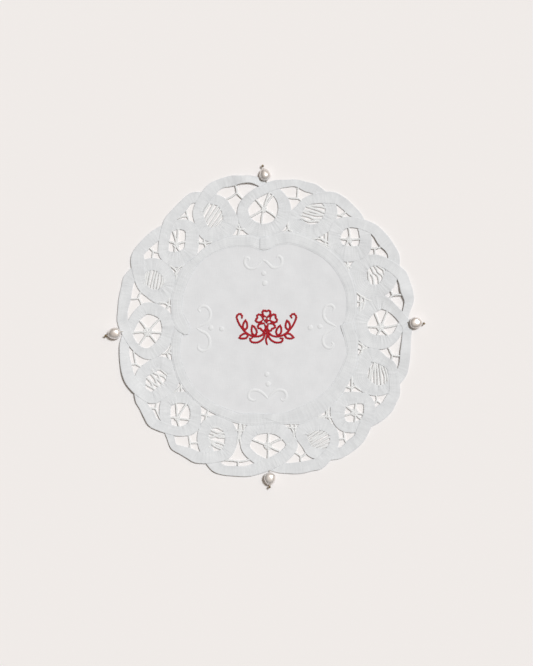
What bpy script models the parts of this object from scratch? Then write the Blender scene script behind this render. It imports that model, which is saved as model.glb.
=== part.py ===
"""Round tape-lace doily lying flat, with a pearl at each of its four sides.

The origin is the middle of the underside, +Y is the top of the doily as it is
looked at and +Z is up. Flat sizes are in millimetres, bearings in degrees
clockwise from +Y, and the finished meshes are in metres.
"""
import math

import bmesh
import bpy
import numpy as np
from mathutils import Matrix, Vector
from mathutils.geometry import delaunay_2d_cdt

MM = 0.001

# Thicknesses of the flat pieces
LINEN_THICK = 1.0
TAPE_THICK = 1.2
CROSSED_THICK = 1.8
THREAD_THICK = 0.9
HUB_THICK = 1.4
EMBROIDERY_RISE = 0.5
PIECE_GAP = 0.3

# Widths of the worked threads, and how far they tuck under the tape
BAR_WIDTH = 1.0
LEG_WIDTH = 0.8
LEG_TUCK = 1.2
RUNG_WIDTH = 0.7
RUNG_TUCK = 1.0
RUNG_LEAN = 0.5
HUB_RADIUS = 1.3
SCROLL_WIDTH = 1.3
DOT_RADIUS = 1.1

# Fineness of the outlines: points round each, and what is too small to make
LOOP_POINTS = 24
SCALLOP_STEPS = 9
TAPE_STEPS = 80
SCROLL_STEPS = 3
HUB_POINTS = 10
DOT_POINTS = 8
LEG_AIM_POINTS = 72
RUNG_EDGE_POINTS = 4
WELD = 0.03
SAME_POINT = 0.000001
SMALLEST_CELL = 0.6
CLEANING_ROUNDS = 2

# How full the curves are: 2 is an ellipse or a parabola, more is squarer
LOOP_FULLNESS = 2.2
SCALLOP_FULLNESS = 2.3
TIP_SHARPNESS = 7
NOTCH_SHARPNESS = 1.4

# Where the tape crosses itself
CROSSING_HALF_WIDTH = 3.0
CROSSING_DEPTH = 6.8
CROSSING_MARGIN = 0.8
CROSSING_OVERHANG = 1.0

# One row for each scallop, from the junction where it starts, clockwise
SCALLOP_COLUMNS = ("bearing", "radius", "rise", "crest_at", "width")
SCALLOPS = [
    (0.2, 72.8, 3.8, 0.49, 4.8),
    (24.3, 76.0, 2.9, 0.48, 5.4),
    (43.1, 74.0, 4.5, 0.45, 5.8),
    (65.6, 75.5, 4.4, 0.58, 6.3),
    (85.8, 73.0, 3.3, 0.62, 5.8),
    (113.7, 75.1, 3.7, 0.42, 5.9),
    (133.3, 75.0, 3.3, 0.55, 6.1),
    (153.8, 76.5, 3.8, 0.42, 5.6),
    (179.0, 73.5, 4.9, 0.53, 6.0),
    (203.6, 76.6, 3.7, 0.53, 5.6),
    (223.4, 75.6, 3.2, 0.42, 6.0),
    (242.9, 75.7, 3.9, 0.46, 6.2),
    (267.9, 73.1, 3.8, 0.48, 6.0),
    (293.8, 75.0, 4.1, 0.44, 6.0),
    (314.4, 73.7, 3.2, 0.62, 5.8),
    (334.6, 76.1, 5.8, 0.55, 5.7),
]

# One row for each loop of the tape, clockwise from the top: its open middle,
# the turn of its long side, how far its tip reaches, the tape round it
LOOP_COLUMNS = ("bearing", "radius", "half_long", "half_short", "tilt", "tip", "tape")
LOOPS = [
    (359.3, 59.1, 7.9, 7.4, 0, 2.2, 5.6),
    (23.4, 62.7, 6.9, 4.8, 35, 0.0, 6.0),
    (44.5, 62.5, 5.4, 5.3, 0, 0.0, 6.2),
    (65.4, 61.7, 5.2, 4.8, 90, 0.0, 6.2),
    (88.2, 59.4, 7.4, 6.8, 0, 1.2, 5.9),
    (112.0, 62.7, 6.1, 5.6, 0, 0.0, 6.0),
    (134.0, 63.1, 5.4, 5.0, 0, 0.0, 6.0),
    (154.7, 63.6, 6.8, 4.9, -25, 0.0, 6.0),
    (178.3, 60.3, 9.0, 6.0, 0, 0.0, 5.8),
    (202.7, 62.3, 7.0, 4.6, 90, 0.0, 6.2),
    (224.3, 62.0, 6.6, 5.4, 90, 0.0, 6.0),
    (243.8, 61.3, 6.8, 5.0, 40, 0.0, 6.2),
    (267.3, 59.1, 8.7, 7.5, 90, 0.0, 6.0),
    (292.9, 60.8, 6.1, 5.6, 135, 0.0, 6.3),
    (314.1, 61.7, 6.0, 4.7, 90, 0.0, 6.2),
    (335.3, 61.7, 7.4, 4.9, -60, 0.0, 6.0),
]

# One row for each spider: the loop it fills, its woven hub, where its legs point
SPIDER_COLUMNS = ("loop", "bearing", "radius", "legs")
SPIDERS = [
    (0, 359.6, 59.1, (14, 41, 125, 189, 250, 320)),
    (2, 44.5, 61.6, (85, 156, 213, 277, 355)),
    (4, 90.4, 58.9, (22, 80, 135, 205, 272, 338)),
    (6, 134.0, 63.5, (8, 100, 135, 183, 255, 306)),
    (8, 178.8, 61.1, (4, 87, 114, 180, 292)),
    (10, 223.9, 64.7, (41, 97, 165, 274, 358)),
    (12, 267.4, 59.6, (43, 94, 141, 214, 266, 325)),
    (14, 312.5, 61.2, (6, 72, 150, 191, 292, 345)),
]

# One row for each ladder: the loop it fills, the way its rungs run, their count
LADDER_COLUMNS = ("loop", "rungs_point", "rungs")
LADDERS = [
    (1, 122, 6),
    (3, 166, 5),
    (5, 180, 5),
    (7, 68, 5),
    (9, 108, 6),
    (11, 146, 6),
    (13, 170, 5),
    (15, 118, 6),
]

# One row for each set of bars between a scallop and two loops, clockwise: where
# its three bars meet and the ways that they point
BAR_COLUMNS = ("bearing", "radius", "ways")
OUTER_BARS = [
    (14.3, 67.0, (5, 275, 120)),
    (34.6, 68.4, (55, 280, 125)),
    (54.6, 68.4, (75, 270, 175)),
    (76.4, 66.8, (85, 335, 230)),
    (102.5, 66.3, (95, 335, 190)),
    (123.6, 68.2, (355, 125, 240)),
    (144.4, 69.8, (355, 265, 155)),
    (164.3, 68.7, (175, 55, 305)),
    (190.9, 69.6, (180, 275, 80)),
    (212.6, 70.0, (350, 90, 185)),
    (233.1, 69.1, (15, 275, 155)),
    (253.8, 67.8, (350, 260, 120)),
    (282.8, 65.5, (265, 25, 155)),
    (304.1, 67.9, (315, 100, 190)),
    (325.0, 68.4, (350, 255, 160)),
    (348.4, 69.1, (350, 240, 135)),
]
OUTER_BAR_LENGTH = 5.8

# The small gaps between two loops and the inner tape, one row for each
INNER_BAR_COLUMNS = ("bearing", "radius")
INNER_BARS = [
    (13.6, 50.9),
    (33.4, 52.6),
    (53.2, 53.0),
    (76.7, 51.9),
    (103.2, 51.9),
    (123.7, 53.4),
    (145.4, 55.0),
    (166.2, 54.5),
    (193.3, 53.9),
    (213.1, 52.3),
    (234.4, 52.6),
    (255.4, 51.0),
    (281.9, 50.5),
    (301.7, 52.7),
    (322.8, 50.7),
    (345.8, 50.5),
]
INNER_BAR_LENGTH = 4.0
INNER_BAR_SPREAD = 115

# Inner and outer edge of the inner tape at sixteen bearings, clockwise from +Y
INNER_TAPE_COLUMNS = ("inner", "outer")
INNER_TAPE = [
    (41.3, 45.8),
    (44.4, 50.5),
    (46.0, 50.6),
    (44.8, 50.0),
    (41.6, 46.1),
    (43.9, 50.2),
    (45.1, 51.4),
    (44.1, 51.5),
    (42.9, 49.4),
    (45.6, 50.6),
    (47.2, 51.0),
    (45.6, 50.0),
    (42.2, 46.6),
    (44.3, 49.4),
    (46.0, 50.7),
    (44.4, 49.4),
]
NOTCH_DEPTH = 2.6
NOTCH_HALF_SPAN = 8.0

# One arm of the padded scrolls, as parts of their spread and depth; the other
# arm mirrors it
SCROLL_COLUMNS = ("along", "inwards")
SCROLL_ARM = [
    (0.06, 0.1),
    (0.32, 0.55),
    (0.66, 1.0),
    (0.93, 0.72),
    (1.0, 0.1),
    (0.88, -0.4),
]

# One row for each side: where its scrolls start, their size, and its two dots
SIDE_COLUMNS = ("bearing", "start", "spread", "depth", "outer_dot", "inner_dot")
SIDES = [
    (359.4, 33.0, 9.8, 4.2, 27.0, 22.2),
    (90.0, 36.2, 11.2, 6.8, 28.7, 23.3),
    (178.6, 37.4, 9.6, 4.4, 28.9, 24.2),
    (268.8, 36.0, 11.4, 7.6, 27.1, 21.9),
]

# One row for each pearl: centre, length, width, the way its narrow end points
PEARL_COLUMNS = ("side", "bearing", "radius", "length", "width", "points", "stopper")
PEARLS = [
    ("north", 0.3, 76.9, 6.5, 5.8, 346, 4.7),
    ("east", 88.6, 76.7, 6.4, 5.7, 95, 4.3),
    ("south", 178.0, 77.0, 6.4, 5.8, 181, 4.3),
    ("west", 267.3, 76.5, 6.4, 5.7, 260, 4.4),
]
PEARL_TAPER = 0.13
PEARL_SECTIONS = (-0.92, -0.72, -0.45, -0.12, 0.12, 0.45, 0.72, 0.92)
PEARL_EVEN_PART = 0.2
PEARL_SEGMENTS = 16
BORE_RADIUS = 0.55
BORE_MOUTH = 0.985
CORD_RADIUS = 0.2
CORD_TAIL = 2.0
CORD_LIFT = 0.35
STOPPER_RADIUS = 0.62

COLOURS = {
    "linen": (0.73, 0.74, 0.76, 0.9, 0.0),
    "tape": (0.66, 0.68, 0.70, 0.85, 0.0),
    "pearl": (0.84, 0.80, 0.76, 0.25, 0.0),
    "thread": (0.62, 0.56, 0.48, 0.7, 0.0),
    "stopper": (0.36, 0.25, 0.12, 0.35, 0.9),
}


def rows(columns, table):
    """Give each row of a table its column names."""
    return [dict(zip(columns, row)) for row in table]


def towards(bearing, length=1.0):
    """A step of a length along a bearing."""
    turn = math.radians(bearing)
    return np.array((math.sin(turn), math.cos(turn))) * length


def scallop_edge(start, end):
    """Outer edge of one scallop, from its junction to the next one."""
    first = towards(start["bearing"], start["radius"])
    chord = towards(end["bearing"], end["radius"]) - first
    out = np.array((-chord[1], chord[0])) / np.hypot(*chord)
    points = []
    for step in range(SCALLOP_STEPS):
        along = step / SCALLOP_STEPS
        crest = start["crest_at"]
        side = crest if along < crest else 1 - crest
        bulge = 1 - abs((along - crest) / side) ** SCALLOP_FULLNESS
        points.append(first + chord * along + out * start["rise"] * bulge)
    return points


def rim_loops():
    """Outer edge of the border and the inner edge of its scalloped tape."""
    scallops = rows(SCALLOP_COLUMNS, SCALLOPS)
    outer = []
    widths = []
    for start, end in zip(scallops, scallops[1:] + scallops[:1]):
        outer += scallop_edge(start, end)
        widths += [start["width"]] * SCALLOP_STEPS
    outer = np.array(outer)
    inner = []
    for index, width in enumerate(widths):
        if index % SCALLOP_STEPS == 0:
            continue
        before, after = outer[index - 1], outer[(index + 1) % len(outer)]
        run = (after - before) / np.hypot(*(after - before))
        inner.append(outer[index] + np.array((run[1], -run[0])) * width)
    return outer, np.array(inner)


def loop_edge(loop, grow, count=LOOP_POINTS):
    """Edge of a loop's open middle, grown by a width."""
    centre = towards(loop["bearing"], loop["radius"])
    tilt = math.radians(loop["tilt"])
    outwards = math.radians(90 - loop["bearing"])
    points = []
    for step in range(count):
        turn = 2 * math.pi * step / count
        long_part = abs(math.cos(turn) / loop["half_long"]) ** LOOP_FULLNESS
        short_part = abs(math.sin(turn) / loop["half_short"]) ** LOOP_FULLNESS
        reach = (long_part + short_part) ** (-1 / LOOP_FULLNESS)
        facing = max(0.0, math.cos(turn + tilt - outwards))
        reach += loop["tip"] * facing ** TIP_SHARPNESS + grow
        points.append(centre + reach * np.array((math.cos(turn + tilt), math.sin(turn + tilt))))
    return np.array(points)


def bar(start, end, width):
    """A straight bar of thread."""
    run = (end - start) / np.hypot(*(end - start))
    side = np.array((-run[1], run[0])) * width / 2
    return np.array((start - side, end - side, end + side, start + side))


def ribbon(spine, width):
    """A band of an even width along a curved line."""
    spine = np.array(spine)
    runs = np.gradient(spine, axis=0)
    runs /= np.hypot(runs[:, 0], runs[:, 1])[:, None]
    sides = np.stack((-runs[:, 1], runs[:, 0]), axis=1) * width / 2
    return np.concatenate((spine - sides, (spine + sides)[::-1]))


def disc(centre, radius, count):
    """A round outline."""
    return np.array([centre + towards(360 * step / count, radius) for step in range(count)])


def smooth(points, steps):
    """A smooth curve through a few points."""
    points = np.array(points)
    ends = np.vstack((2 * points[0] - points[1], points, 2 * points[-1] - points[-2]))
    curve = []
    for index in range(1, len(ends) - 2):
        before, start, end, after = ends[index - 1:index + 3]
        for step in range(steps):
            at = step / steps
            curve.append(0.5 * (2 * start + (end - before) * at
                                + (2 * before - 5 * start + 4 * end - after) * at ** 2
                                + (3 * start - before - 3 * end + after) * at ** 3))
    return np.array(curve + [points[-1]])


def crossing(scallop, loop, hole):
    """Kite where the tape crosses itself between a loop and its two scallops."""
    junction = towards(scallop["bearing"], scallop["radius"])
    centre = towards(loop["bearing"], loop["radius"])
    inwards = (centre - junction) / np.hypot(*(centre - junction))
    aside = np.array((-inwards[1], inwards[0])) * CROSSING_HALF_WIDTH
    room = np.hypot(*(hole - junction).T).min() - CROSSING_MARGIN
    depth = min(CROSSING_DEPTH, room)
    top = junction + inwards * CROSSING_MARGIN
    middle = junction + inwards * (CROSSING_MARGIN + depth) / 2
    return np.array((top, middle - aside, junction + inwards * depth, middle + aside))


def inner_tape_edge(column, inset=0.0, notch=0.0):
    """An edge of the inner tape: a smooth ring with a notch at each side."""
    radii = [row[column] for row in rows(INNER_TAPE_COLUMNS, INNER_TAPE)]
    points = []
    for step in range(TAPE_STEPS):
        bearing = 360 * step / TAPE_STEPS
        place = bearing / 360 * len(radii)
        index, part = int(place), place % 1
        ease = (1 - math.cos(math.pi * part)) / 2
        radius = radii[index] * (1 - ease) + radii[(index + 1) % len(radii)] * ease
        off_side = abs((bearing + 45) % 90 - 45) / NOTCH_HALF_SPAN
        radius -= notch * max(0.0, 1 - off_side) ** NOTCH_SHARPNESS
        points.append(towards(bearing, radius - inset))
    return np.array(points)


def inside(points, outline):
    """Which points lie inside an outline."""
    result = np.zeros(len(points), bool)
    x, y = points[:, 0], points[:, 1]
    for (ax, ay), (bx, by) in zip(outline, np.roll(outline, -1, axis=0)):
        crosses = (ay > y) != (by > y)
        if crosses.any():
            edge_x = ax + (y - ay) * (bx - ax) / np.where(crosses, by - ay, 1.0)
            result ^= crosses & (x < edge_x)
    return result


def inside_any(points, outlines):
    """Which points lie inside at least one of the outlines."""
    result = np.zeros(len(points), bool)
    for outline in outlines:
        result |= inside(points, outline)
    return result


def triangulate(points, edges, weld):
    """Triangles between edges, each corner with the point that it came from."""
    found = delaunay_2d_cdt([Vector(point) for point in points], edges, [], 0, weld)
    corners = np.array([tuple(point) for point in found[0]])
    sources = [ids[0] if ids else -1 for ids in found[3]]
    return corners, np.array(found[2]), sources


def heights_left_of_edges(triangles, heights):
    """The height beside each edge, on the side to its left."""
    beside = {}
    for (a, b, c), height in zip(triangles.tolist(), heights):
        beside[a, b] = beside[b, c] = beside[c, a] = height
    return beside


def steps_between(beside):
    """Edges between two heights, with the higher side on their left."""
    steps = []
    for (a, b), height in beside.items():
        lower = beside.get((b, a), 0.0)
        if height > lower:
            steps.append((a, b, height, lower))
    return steps


def absorb_small_cells(corners, triangles, heights):
    """Give cells too small to be made the height of their longest neighbour."""
    heights = heights.copy()
    a, b, c = (corners[triangles[:, k]] for k in range(3))
    areas = np.abs(np.cross(b - a, c - a)) / 2
    owners = {}
    for index, (p, q, r) in enumerate(triangles.tolist()):
        for edge in ((p, q), (q, r), (r, p)):
            owners[edge] = index
    seen = np.zeros(len(triangles), bool)
    for first in range(len(triangles)):
        if seen[first]:
            continue
        cell, border, queue = [], {}, [first]
        seen[first] = True
        while queue:
            index = queue.pop()
            cell.append(index)
            p, q, r = triangles[index].tolist()
            for edge in ((p, q), (q, r), (r, p)):
                other = owners.get(edge[::-1])
                level = 0.0 if other is None else heights[other]
                if level != heights[index]:
                    length = float(np.hypot(*(corners[edge[0]] - corners[edge[1]])))
                    border[level] = border.get(level, 0.0) + length
                elif other is not None and not seen[other]:
                    seen[other] = True
                    queue.append(other)
        if areas[cell].sum() < SMALLEST_CELL and border:
            heights[cell] = max(border, key=border.get)
    return heights


def height_at(points, corners, triangles, heights):
    """Height of the cell that each point lies in."""
    a, b, c = (corners[triangles[:, k]] for k in range(3))
    result = []
    for point in points:
        inner = np.minimum(np.cross(b - a, point - a), np.cross(c - b, point - b))
        inner = np.minimum(inner, np.cross(a - c, point - c))
        result.append(heights[int(np.argmax(inner > 0))] if (inner > 0).any() else 0.0)
    return np.array(result)


def retriangulate(corners, edges, lookup):
    """Triangles that keep only the given edges, with the height of each."""
    used = sorted({corner for edge in edges for corner in edge[:2]})
    place = {corner: index for index, corner in enumerate(used)}
    pairs = [(place[edge[0]], place[edge[1]]) for edge in edges]
    points, triangles, sources = triangulate(corners[used], pairs, SAME_POINT)
    owner = [used[source] for source in sources]
    heights = height_at(points[triangles].mean(axis=1), *lookup)
    return np.array([[owner[k] for k in triangle] for triangle in triangles.tolist()]), heights


def stepped_piece(name, loops, height_of, material):
    """A flat-bottomed solid whose top stands at a set height in each cell."""
    points, edges = [], []
    for loop in loops:
        first = len(points)
        count = len(loop)
        points += [tuple(point) for point in loop]
        edges += [(first + k, first + (k + 1) % count) for k in range(count)]
    corners, triangles, _ = triangulate(points, edges, WELD)
    heights = height_of(corners[triangles].mean(axis=1))
    for _ in range(CLEANING_ROUNDS):
        heights = absorb_small_cells(corners, triangles, heights)
    lookup = (corners, triangles, heights)
    steps = steps_between(heights_left_of_edges(triangles, heights))
    tops, top_heights = retriangulate(corners, steps, lookup)
    outline = [step for step in steps if step[3] == 0.0]
    bottoms, bottom_heights = retriangulate(corners, outline, lookup)
    steps = steps_between(heights_left_of_edges(tops, top_heights))
    return build_steps(name, corners, tops, top_heights, bottoms, bottom_heights, steps, material)


def build_steps(name, corners, tops, top_heights, bottoms, bottom_heights, steps, material):
    """Join the tops, the underside and the walls between heights."""
    levels = {}
    for triangle, height in zip(tops.tolist(), top_heights):
        for corner in triangle:
            levels.setdefault(corner, set()).add(height)
    for a, b, _, lower in steps:
        levels[a].add(lower)
        levels[b].add(lower)
    mesh = bmesh.new()
    made = {}

    def vertex(corner, height):
        key = (corner, height)
        if key not in made:
            x, y = corners[corner]
            made[key] = mesh.verts.new((x * MM, y * MM, height * MM))
        return made[key]

    for triangle, height in zip(tops.tolist(), top_heights):
        if height > 0:
            mesh.faces.new([vertex(corner, height) for corner in triangle])
    for triangle, height in zip(bottoms.tolist(), bottom_heights):
        if height > 0:
            mesh.faces.new([vertex(corner, 0.0) for corner in reversed(triangle)])
    for a, b, upper, lower in steps:
        up = [level for level in sorted(levels[b]) if lower <= level <= upper]
        down = [level for level in sorted(levels[a], reverse=True) if lower <= level <= upper]
        mesh.faces.new([vertex(b, level) for level in up] + [vertex(a, level) for level in down])
    data = bpy.data.meshes.new(name)
    mesh.to_mesh(data)
    mesh.free()
    return add_object(name, data, material)


def lace_border(material):
    """Scalloped and looped tape with its worked spiders, ladders and bars."""
    scallops = rows(SCALLOP_COLUMNS, SCALLOPS)
    loops = rows(LOOP_COLUMNS, LOOPS)
    outline, rim_inner = rim_loops()
    holes = [loop_edge(loop, 0.0) for loop in loops]
    rings = [loop_edge(loop, loop["tape"]) for loop in loops]
    keep_out = inner_tape_edge("outer", -PIECE_GAP)
    kites = [crossing(*place) for place in zip(scallops, loops, holes)]
    threads = spider_legs(loops) + ladder_rungs(loops, holes) + joining_bars()
    hubs = [disc(towards(row["bearing"], row["radius"]), HUB_RADIUS, HUB_POINTS)
            for row in rows(SPIDER_COLUMNS, SPIDERS)]

    def height_of(points):
        rim = inside(points, outline) & ~inside(points, rim_inner)
        tape = (rim | inside_any(points, rings)) & ~inside_any(points, holes)
        height = np.where(inside_any(points, threads), THREAD_THICK, 0.0)
        height[inside_any(points, hubs)] = HUB_THICK
        height[tape] = TAPE_THICK
        height[tape & inside_any(points, kites)] = CROSSED_THICK
        height[inside(points, keep_out) | ~inside(points, outline)] = 0.0
        return height

    edges = [outline, rim_inner, keep_out] + holes + rings + kites + threads + hubs
    return stepped_piece("lace_border", edges, height_of, material)


def spider_legs(loops):
    """Legs that run from each spider's hub under the tape of its loop."""
    legs = []
    for spider in rows(SPIDER_COLUMNS, SPIDERS):
        loop = loops[spider["loop"]]
        hub = towards(spider["bearing"], spider["radius"])
        ring = loop_edge(loop, LEG_TUCK, LEG_AIM_POINTS)
        for bearing in spider["legs"]:
            way = towards(bearing)
            ahead = ring - hub
            off_line = np.abs(ahead[:, 0] * way[1] - ahead[:, 1] * way[0])
            off_line[ahead @ way < 0] = np.inf
            length = float(ahead[int(np.argmin(off_line))] @ way)
            legs.append(bar(hub, hub + way * length, LEG_WIDTH))
    return legs


def ladder_rungs(loops, holes):
    """Rungs across each ladder, each cut a little past the open middle."""
    rungs = []
    for ladder in rows(LADDER_COLUMNS, LADDERS):
        loop = loops[ladder["loop"]]
        centre = towards(loop["bearing"], loop["radius"])
        way = towards(ladder["rungs_point"])
        across = np.array((-way[1], way[0]))
        edge = holes[ladder["loop"]] - centre
        spread = edge @ across
        for number in range(ladder["rungs"]):
            place = (number + 1) / (ladder["rungs"] + 1)
            offset = spread.min() + (spread.max() - spread.min()) * place
            nearest = np.argsort(np.abs(spread - offset))[:RUNG_EDGE_POINTS]
            reach = edge[nearest] @ way
            middle = centre + across * offset
            lean = across * RUNG_LEAN * (-1) ** number
            start = middle + way * (reach.min() - RUNG_TUCK) - lean
            end = middle + way * (reach.max() + RUNG_TUCK) + lean
            rungs.append(bar(start, end, RUNG_WIDTH))
    return rungs


def joining_bars():
    """Bars that join the loops to the scallops and to the inner tape."""
    bars = []
    for row in rows(BAR_COLUMNS, OUTER_BARS):
        meet = towards(row["bearing"], row["radius"])
        for way in row["ways"]:
            bars.append(bar(meet, meet + towards(way, OUTER_BAR_LENGTH), BAR_WIDTH))
    for row in rows(INNER_BAR_COLUMNS, INNER_BARS):
        meet = towards(row["bearing"], row["radius"])
        for turn in (-INNER_BAR_SPREAD, 0, INNER_BAR_SPREAD):
            way = row["bearing"] + 180 + turn
            bars.append(bar(meet, meet + towards(way, INNER_BAR_LENGTH), BAR_WIDTH))
    return bars


def inner_tape(material):
    """Narrow tape round the linen, crossing itself at the four sides."""
    outer = inner_tape_edge("outer")
    inner = inner_tape_edge("inner", 0.0, NOTCH_DEPTH)
    kites = []
    for number, side in enumerate(range(0, 360, 90)):
        row = rows(INNER_TAPE_COLUMNS, INNER_TAPE)[number * 4]
        tip = towards(side, row["inner"] - NOTCH_DEPTH - CROSSING_OVERHANG)
        top = towards(side, row["outer"] + CROSSING_OVERHANG)
        middle = (tip + top) / 2
        aside = towards(side + 90, CROSSING_HALF_WIDTH)
        kites.append(np.array((tip, middle + aside, top, middle - aside)))

    def height_of(points):
        tape = inside(points, outer) & ~inside(points, inner)
        height = np.where(tape, TAPE_THICK, 0.0)
        height[tape & inside_any(points, kites)] = CROSSED_THICK
        return height

    return stepped_piece("inner_tape", [outer, inner] + kites, height_of, material)


def linen_centre(material):
    """Linen disc with its padded scrolls and dots raised."""
    edge = inner_tape_edge("inner", PIECE_GAP, NOTCH_DEPTH)
    raised = []
    for side in rows(SIDE_COLUMNS, SIDES):
        start = towards(side["bearing"], side["start"])
        inwards = towards(side["bearing"] + 180, side["depth"])
        along = towards(side["bearing"] + 90, side["spread"])
        for hand in (1, -1):
            arm = [start + along * hand * row["along"] + inwards * row["inwards"]
                   for row in rows(SCROLL_COLUMNS, SCROLL_ARM)]
            raised.append(ribbon(smooth(arm, SCROLL_STEPS), SCROLL_WIDTH))
        for distance in (side["outer_dot"], side["inner_dot"]):
            middle = towards(side["bearing"], distance)
            raised.append(disc(middle, DOT_RADIUS, DOT_POINTS))

    def height_of(points):
        height = np.where(inside(points, edge), LINEN_THICK, 0.0)
        height[inside_any(points, raised)] = LINEN_THICK + EMBROIDERY_RISE
        return height

    return stepped_piece("linen_centre", [edge] + raised, height_of, material)


def pearl_radius(pearl, at):
    """Radius of a pearl at a place from -1, its full end, to 1, its narrow end."""
    at = 0.0 if abs(at) < PEARL_EVEN_PART else at
    return pearl["width"] / 2 * math.sqrt(1 - at * at) * (1 - PEARL_TAPER * at)


def resting_height(pearl):
    """Height of the pearl's axis when one of its flats lies on the table."""
    return pearl_radius(pearl, 0.0) * math.cos(math.pi / PEARL_SEGMENTS)


def pearl_body(pearl, material):
    """Drilled pearl, turned about its bore and lying on one flat."""
    half = pearl["length"] / 2
    profile = [(BORE_RADIUS, -half * BORE_MOUTH)]
    profile += [(pearl_radius(pearl, at), half * at) for at in PEARL_SECTIONS]
    profile += [(BORE_RADIUS, half * BORE_MOUTH)]
    mesh = bmesh.new()
    turn = Matrix.Rotation(math.pi / PEARL_SEGMENTS, 3, "Y")
    verts = [mesh.verts.new(turn @ Vector((0, y * MM, r * MM))) for r, y in profile]
    edges = [mesh.edges.new(pair) for pair in zip(verts, verts[1:] + verts[:1])]
    bmesh.ops.spin(mesh, geom=verts + edges, cent=(0, 0, 0), axis=(0, 1, 0),
                   angle=2 * math.pi, steps=PEARL_SEGMENTS, use_duplicate=False)
    bmesh.ops.remove_doubles(mesh, verts=mesh.verts, dist=SAME_POINT)
    bmesh.ops.recalc_face_normals(mesh, faces=mesh.faces)
    data = bpy.data.meshes.new("pearl_" + pearl["side"])
    mesh.to_mesh(data)
    mesh.free()
    data.shade_smooth()
    body = add_object(data.name, data, material)
    centre = towards(pearl["bearing"], pearl["radius"]) * MM
    body.location = (centre[0], centre[1], resting_height(pearl) * MM)
    body.rotation_euler = (0, 0, -math.radians(pearl["points"]))
    return body


def stopper_bead(pearl, material):
    """Tiny bead that keeps the pearl on its thread."""
    mesh = bmesh.new()
    bmesh.ops.create_uvsphere(mesh, u_segments=10, v_segments=6, radius=STOPPER_RADIUS * MM)
    data = bpy.data.meshes.new("stopper_" + pearl["side"])
    mesh.to_mesh(data)
    mesh.free()
    data.shade_smooth()
    bead = add_object(data.name, data, material)
    place = towards(pearl["bearing"], pearl["radius"]) + towards(pearl["points"], pearl["stopper"])
    bead.location = (place[0] * MM, place[1] * MM, resting_height(pearl) * MM)
    return bead


def pearl_thread(pearl, material):
    """Thread from the crossed tape through the pearl, up to its stopper."""
    axis_height = resting_height(pearl)
    centre = towards(pearl["bearing"], pearl["radius"])
    way = towards(pearl["points"])
    mouth = centre - way * (pearl["length"] / 2 + PIECE_GAP)
    knot = mouth + towards(pearl["bearing"] + 180, CORD_TAIL)
    tip = centre + way * (pearl["stopper"] - STOPPER_RADIUS - PIECE_GAP)
    low = CROSSED_THICK + CORD_LIFT + CORD_RADIUS
    route = [(knot, low), (mouth, axis_height), (centre, axis_height), (tip, axis_height)]
    curve = bpy.data.curves.new("pearl_thread_" + pearl["side"], "CURVE")
    curve.dimensions = "3D"
    curve.bevel_depth = CORD_RADIUS * MM
    curve.bevel_resolution = 1
    curve.use_fill_caps = True
    spline = curve.splines.new("POLY")
    spline.points.add(len(route) - 1)
    for point, (place, height) in zip(spline.points, route):
        point.co = (place[0] * MM, place[1] * MM, height * MM, 1.0)
    return add_object(curve.name, curve, material)


def add_object(name, data, material):
    """Put a finished piece into the scene."""
    thing = bpy.data.objects.new(name, data)
    bpy.context.scene.collection.objects.link(thing)
    data.materials.append(material)
    return thing


def make_material(name):
    """Plain finish in the piece's own colour."""
    red, green, blue, roughness, metallic = COLOURS[name]
    material = bpy.data.materials.new(name)
    material.use_nodes = True
    shader = material.node_tree.nodes["Principled BSDF"]
    shader.inputs["Base Color"].default_value = (red, green, blue, 1.0)
    shader.inputs["Roughness"].default_value = roughness
    shader.inputs["Metallic"].default_value = metallic
    return material


def main():
    for thing in list(bpy.data.objects):
        bpy.data.objects.remove(thing)
    finishes = {name: make_material(name) for name in COLOURS}
    linen_centre(finishes["linen"])
    inner_tape(finishes["tape"])
    lace_border(finishes["tape"])
    for pearl in rows(PEARL_COLUMNS, PEARLS):
        pearl_body(pearl, finishes["pearl"])
        stopper_bead(pearl, finishes["stopper"])
        pearl_thread(pearl, finishes["thread"])


main()
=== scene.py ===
import math
import random

import bpy
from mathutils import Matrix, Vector, noise


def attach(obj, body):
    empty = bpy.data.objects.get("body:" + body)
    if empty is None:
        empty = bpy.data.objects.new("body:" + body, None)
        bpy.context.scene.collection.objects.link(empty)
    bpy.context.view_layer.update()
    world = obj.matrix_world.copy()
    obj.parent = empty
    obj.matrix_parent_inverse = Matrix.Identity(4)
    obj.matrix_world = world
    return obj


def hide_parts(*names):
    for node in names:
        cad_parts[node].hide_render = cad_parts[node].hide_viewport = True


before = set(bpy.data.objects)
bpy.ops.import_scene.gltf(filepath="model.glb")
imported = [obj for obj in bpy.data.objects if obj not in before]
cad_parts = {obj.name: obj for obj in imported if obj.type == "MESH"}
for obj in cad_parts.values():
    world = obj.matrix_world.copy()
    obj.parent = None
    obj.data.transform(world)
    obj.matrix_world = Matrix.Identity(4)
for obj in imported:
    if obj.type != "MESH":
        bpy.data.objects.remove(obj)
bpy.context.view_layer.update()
print("frame loaded:", len(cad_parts), "solids")

# every length below is in millimetres, every bearing in degrees clockwise from +Y
mm = 0.001
sameSpot = 0.001 * mm
fullTurn = 2 * math.pi
photo = {"middle": (264.4, 326.6), "pixel": 0.507}  # the part's origin, and a pixel's size


# ---- small helpers

def clearSelection():
    if bpy.context.object and bpy.context.object.mode != "OBJECT":
        bpy.ops.object.mode_set(mode="OBJECT")
    bpy.ops.object.select_all(action="DESELECT")


def pick(piece):
    clearSelection()
    piece.select_set(True)
    bpy.context.view_layer.objects.active = piece


def nameNew(name):
    piece = bpy.context.object
    piece.name = piece.data.name = name
    return piece


def addObject(name, data):
    piece = bpy.data.objects.new(name, data)
    bpy.context.scene.collection.objects.link(piece)
    return piece


def applyPlace():
    bpy.ops.object.transform_apply(location=True, rotation=True, scale=True)


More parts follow.
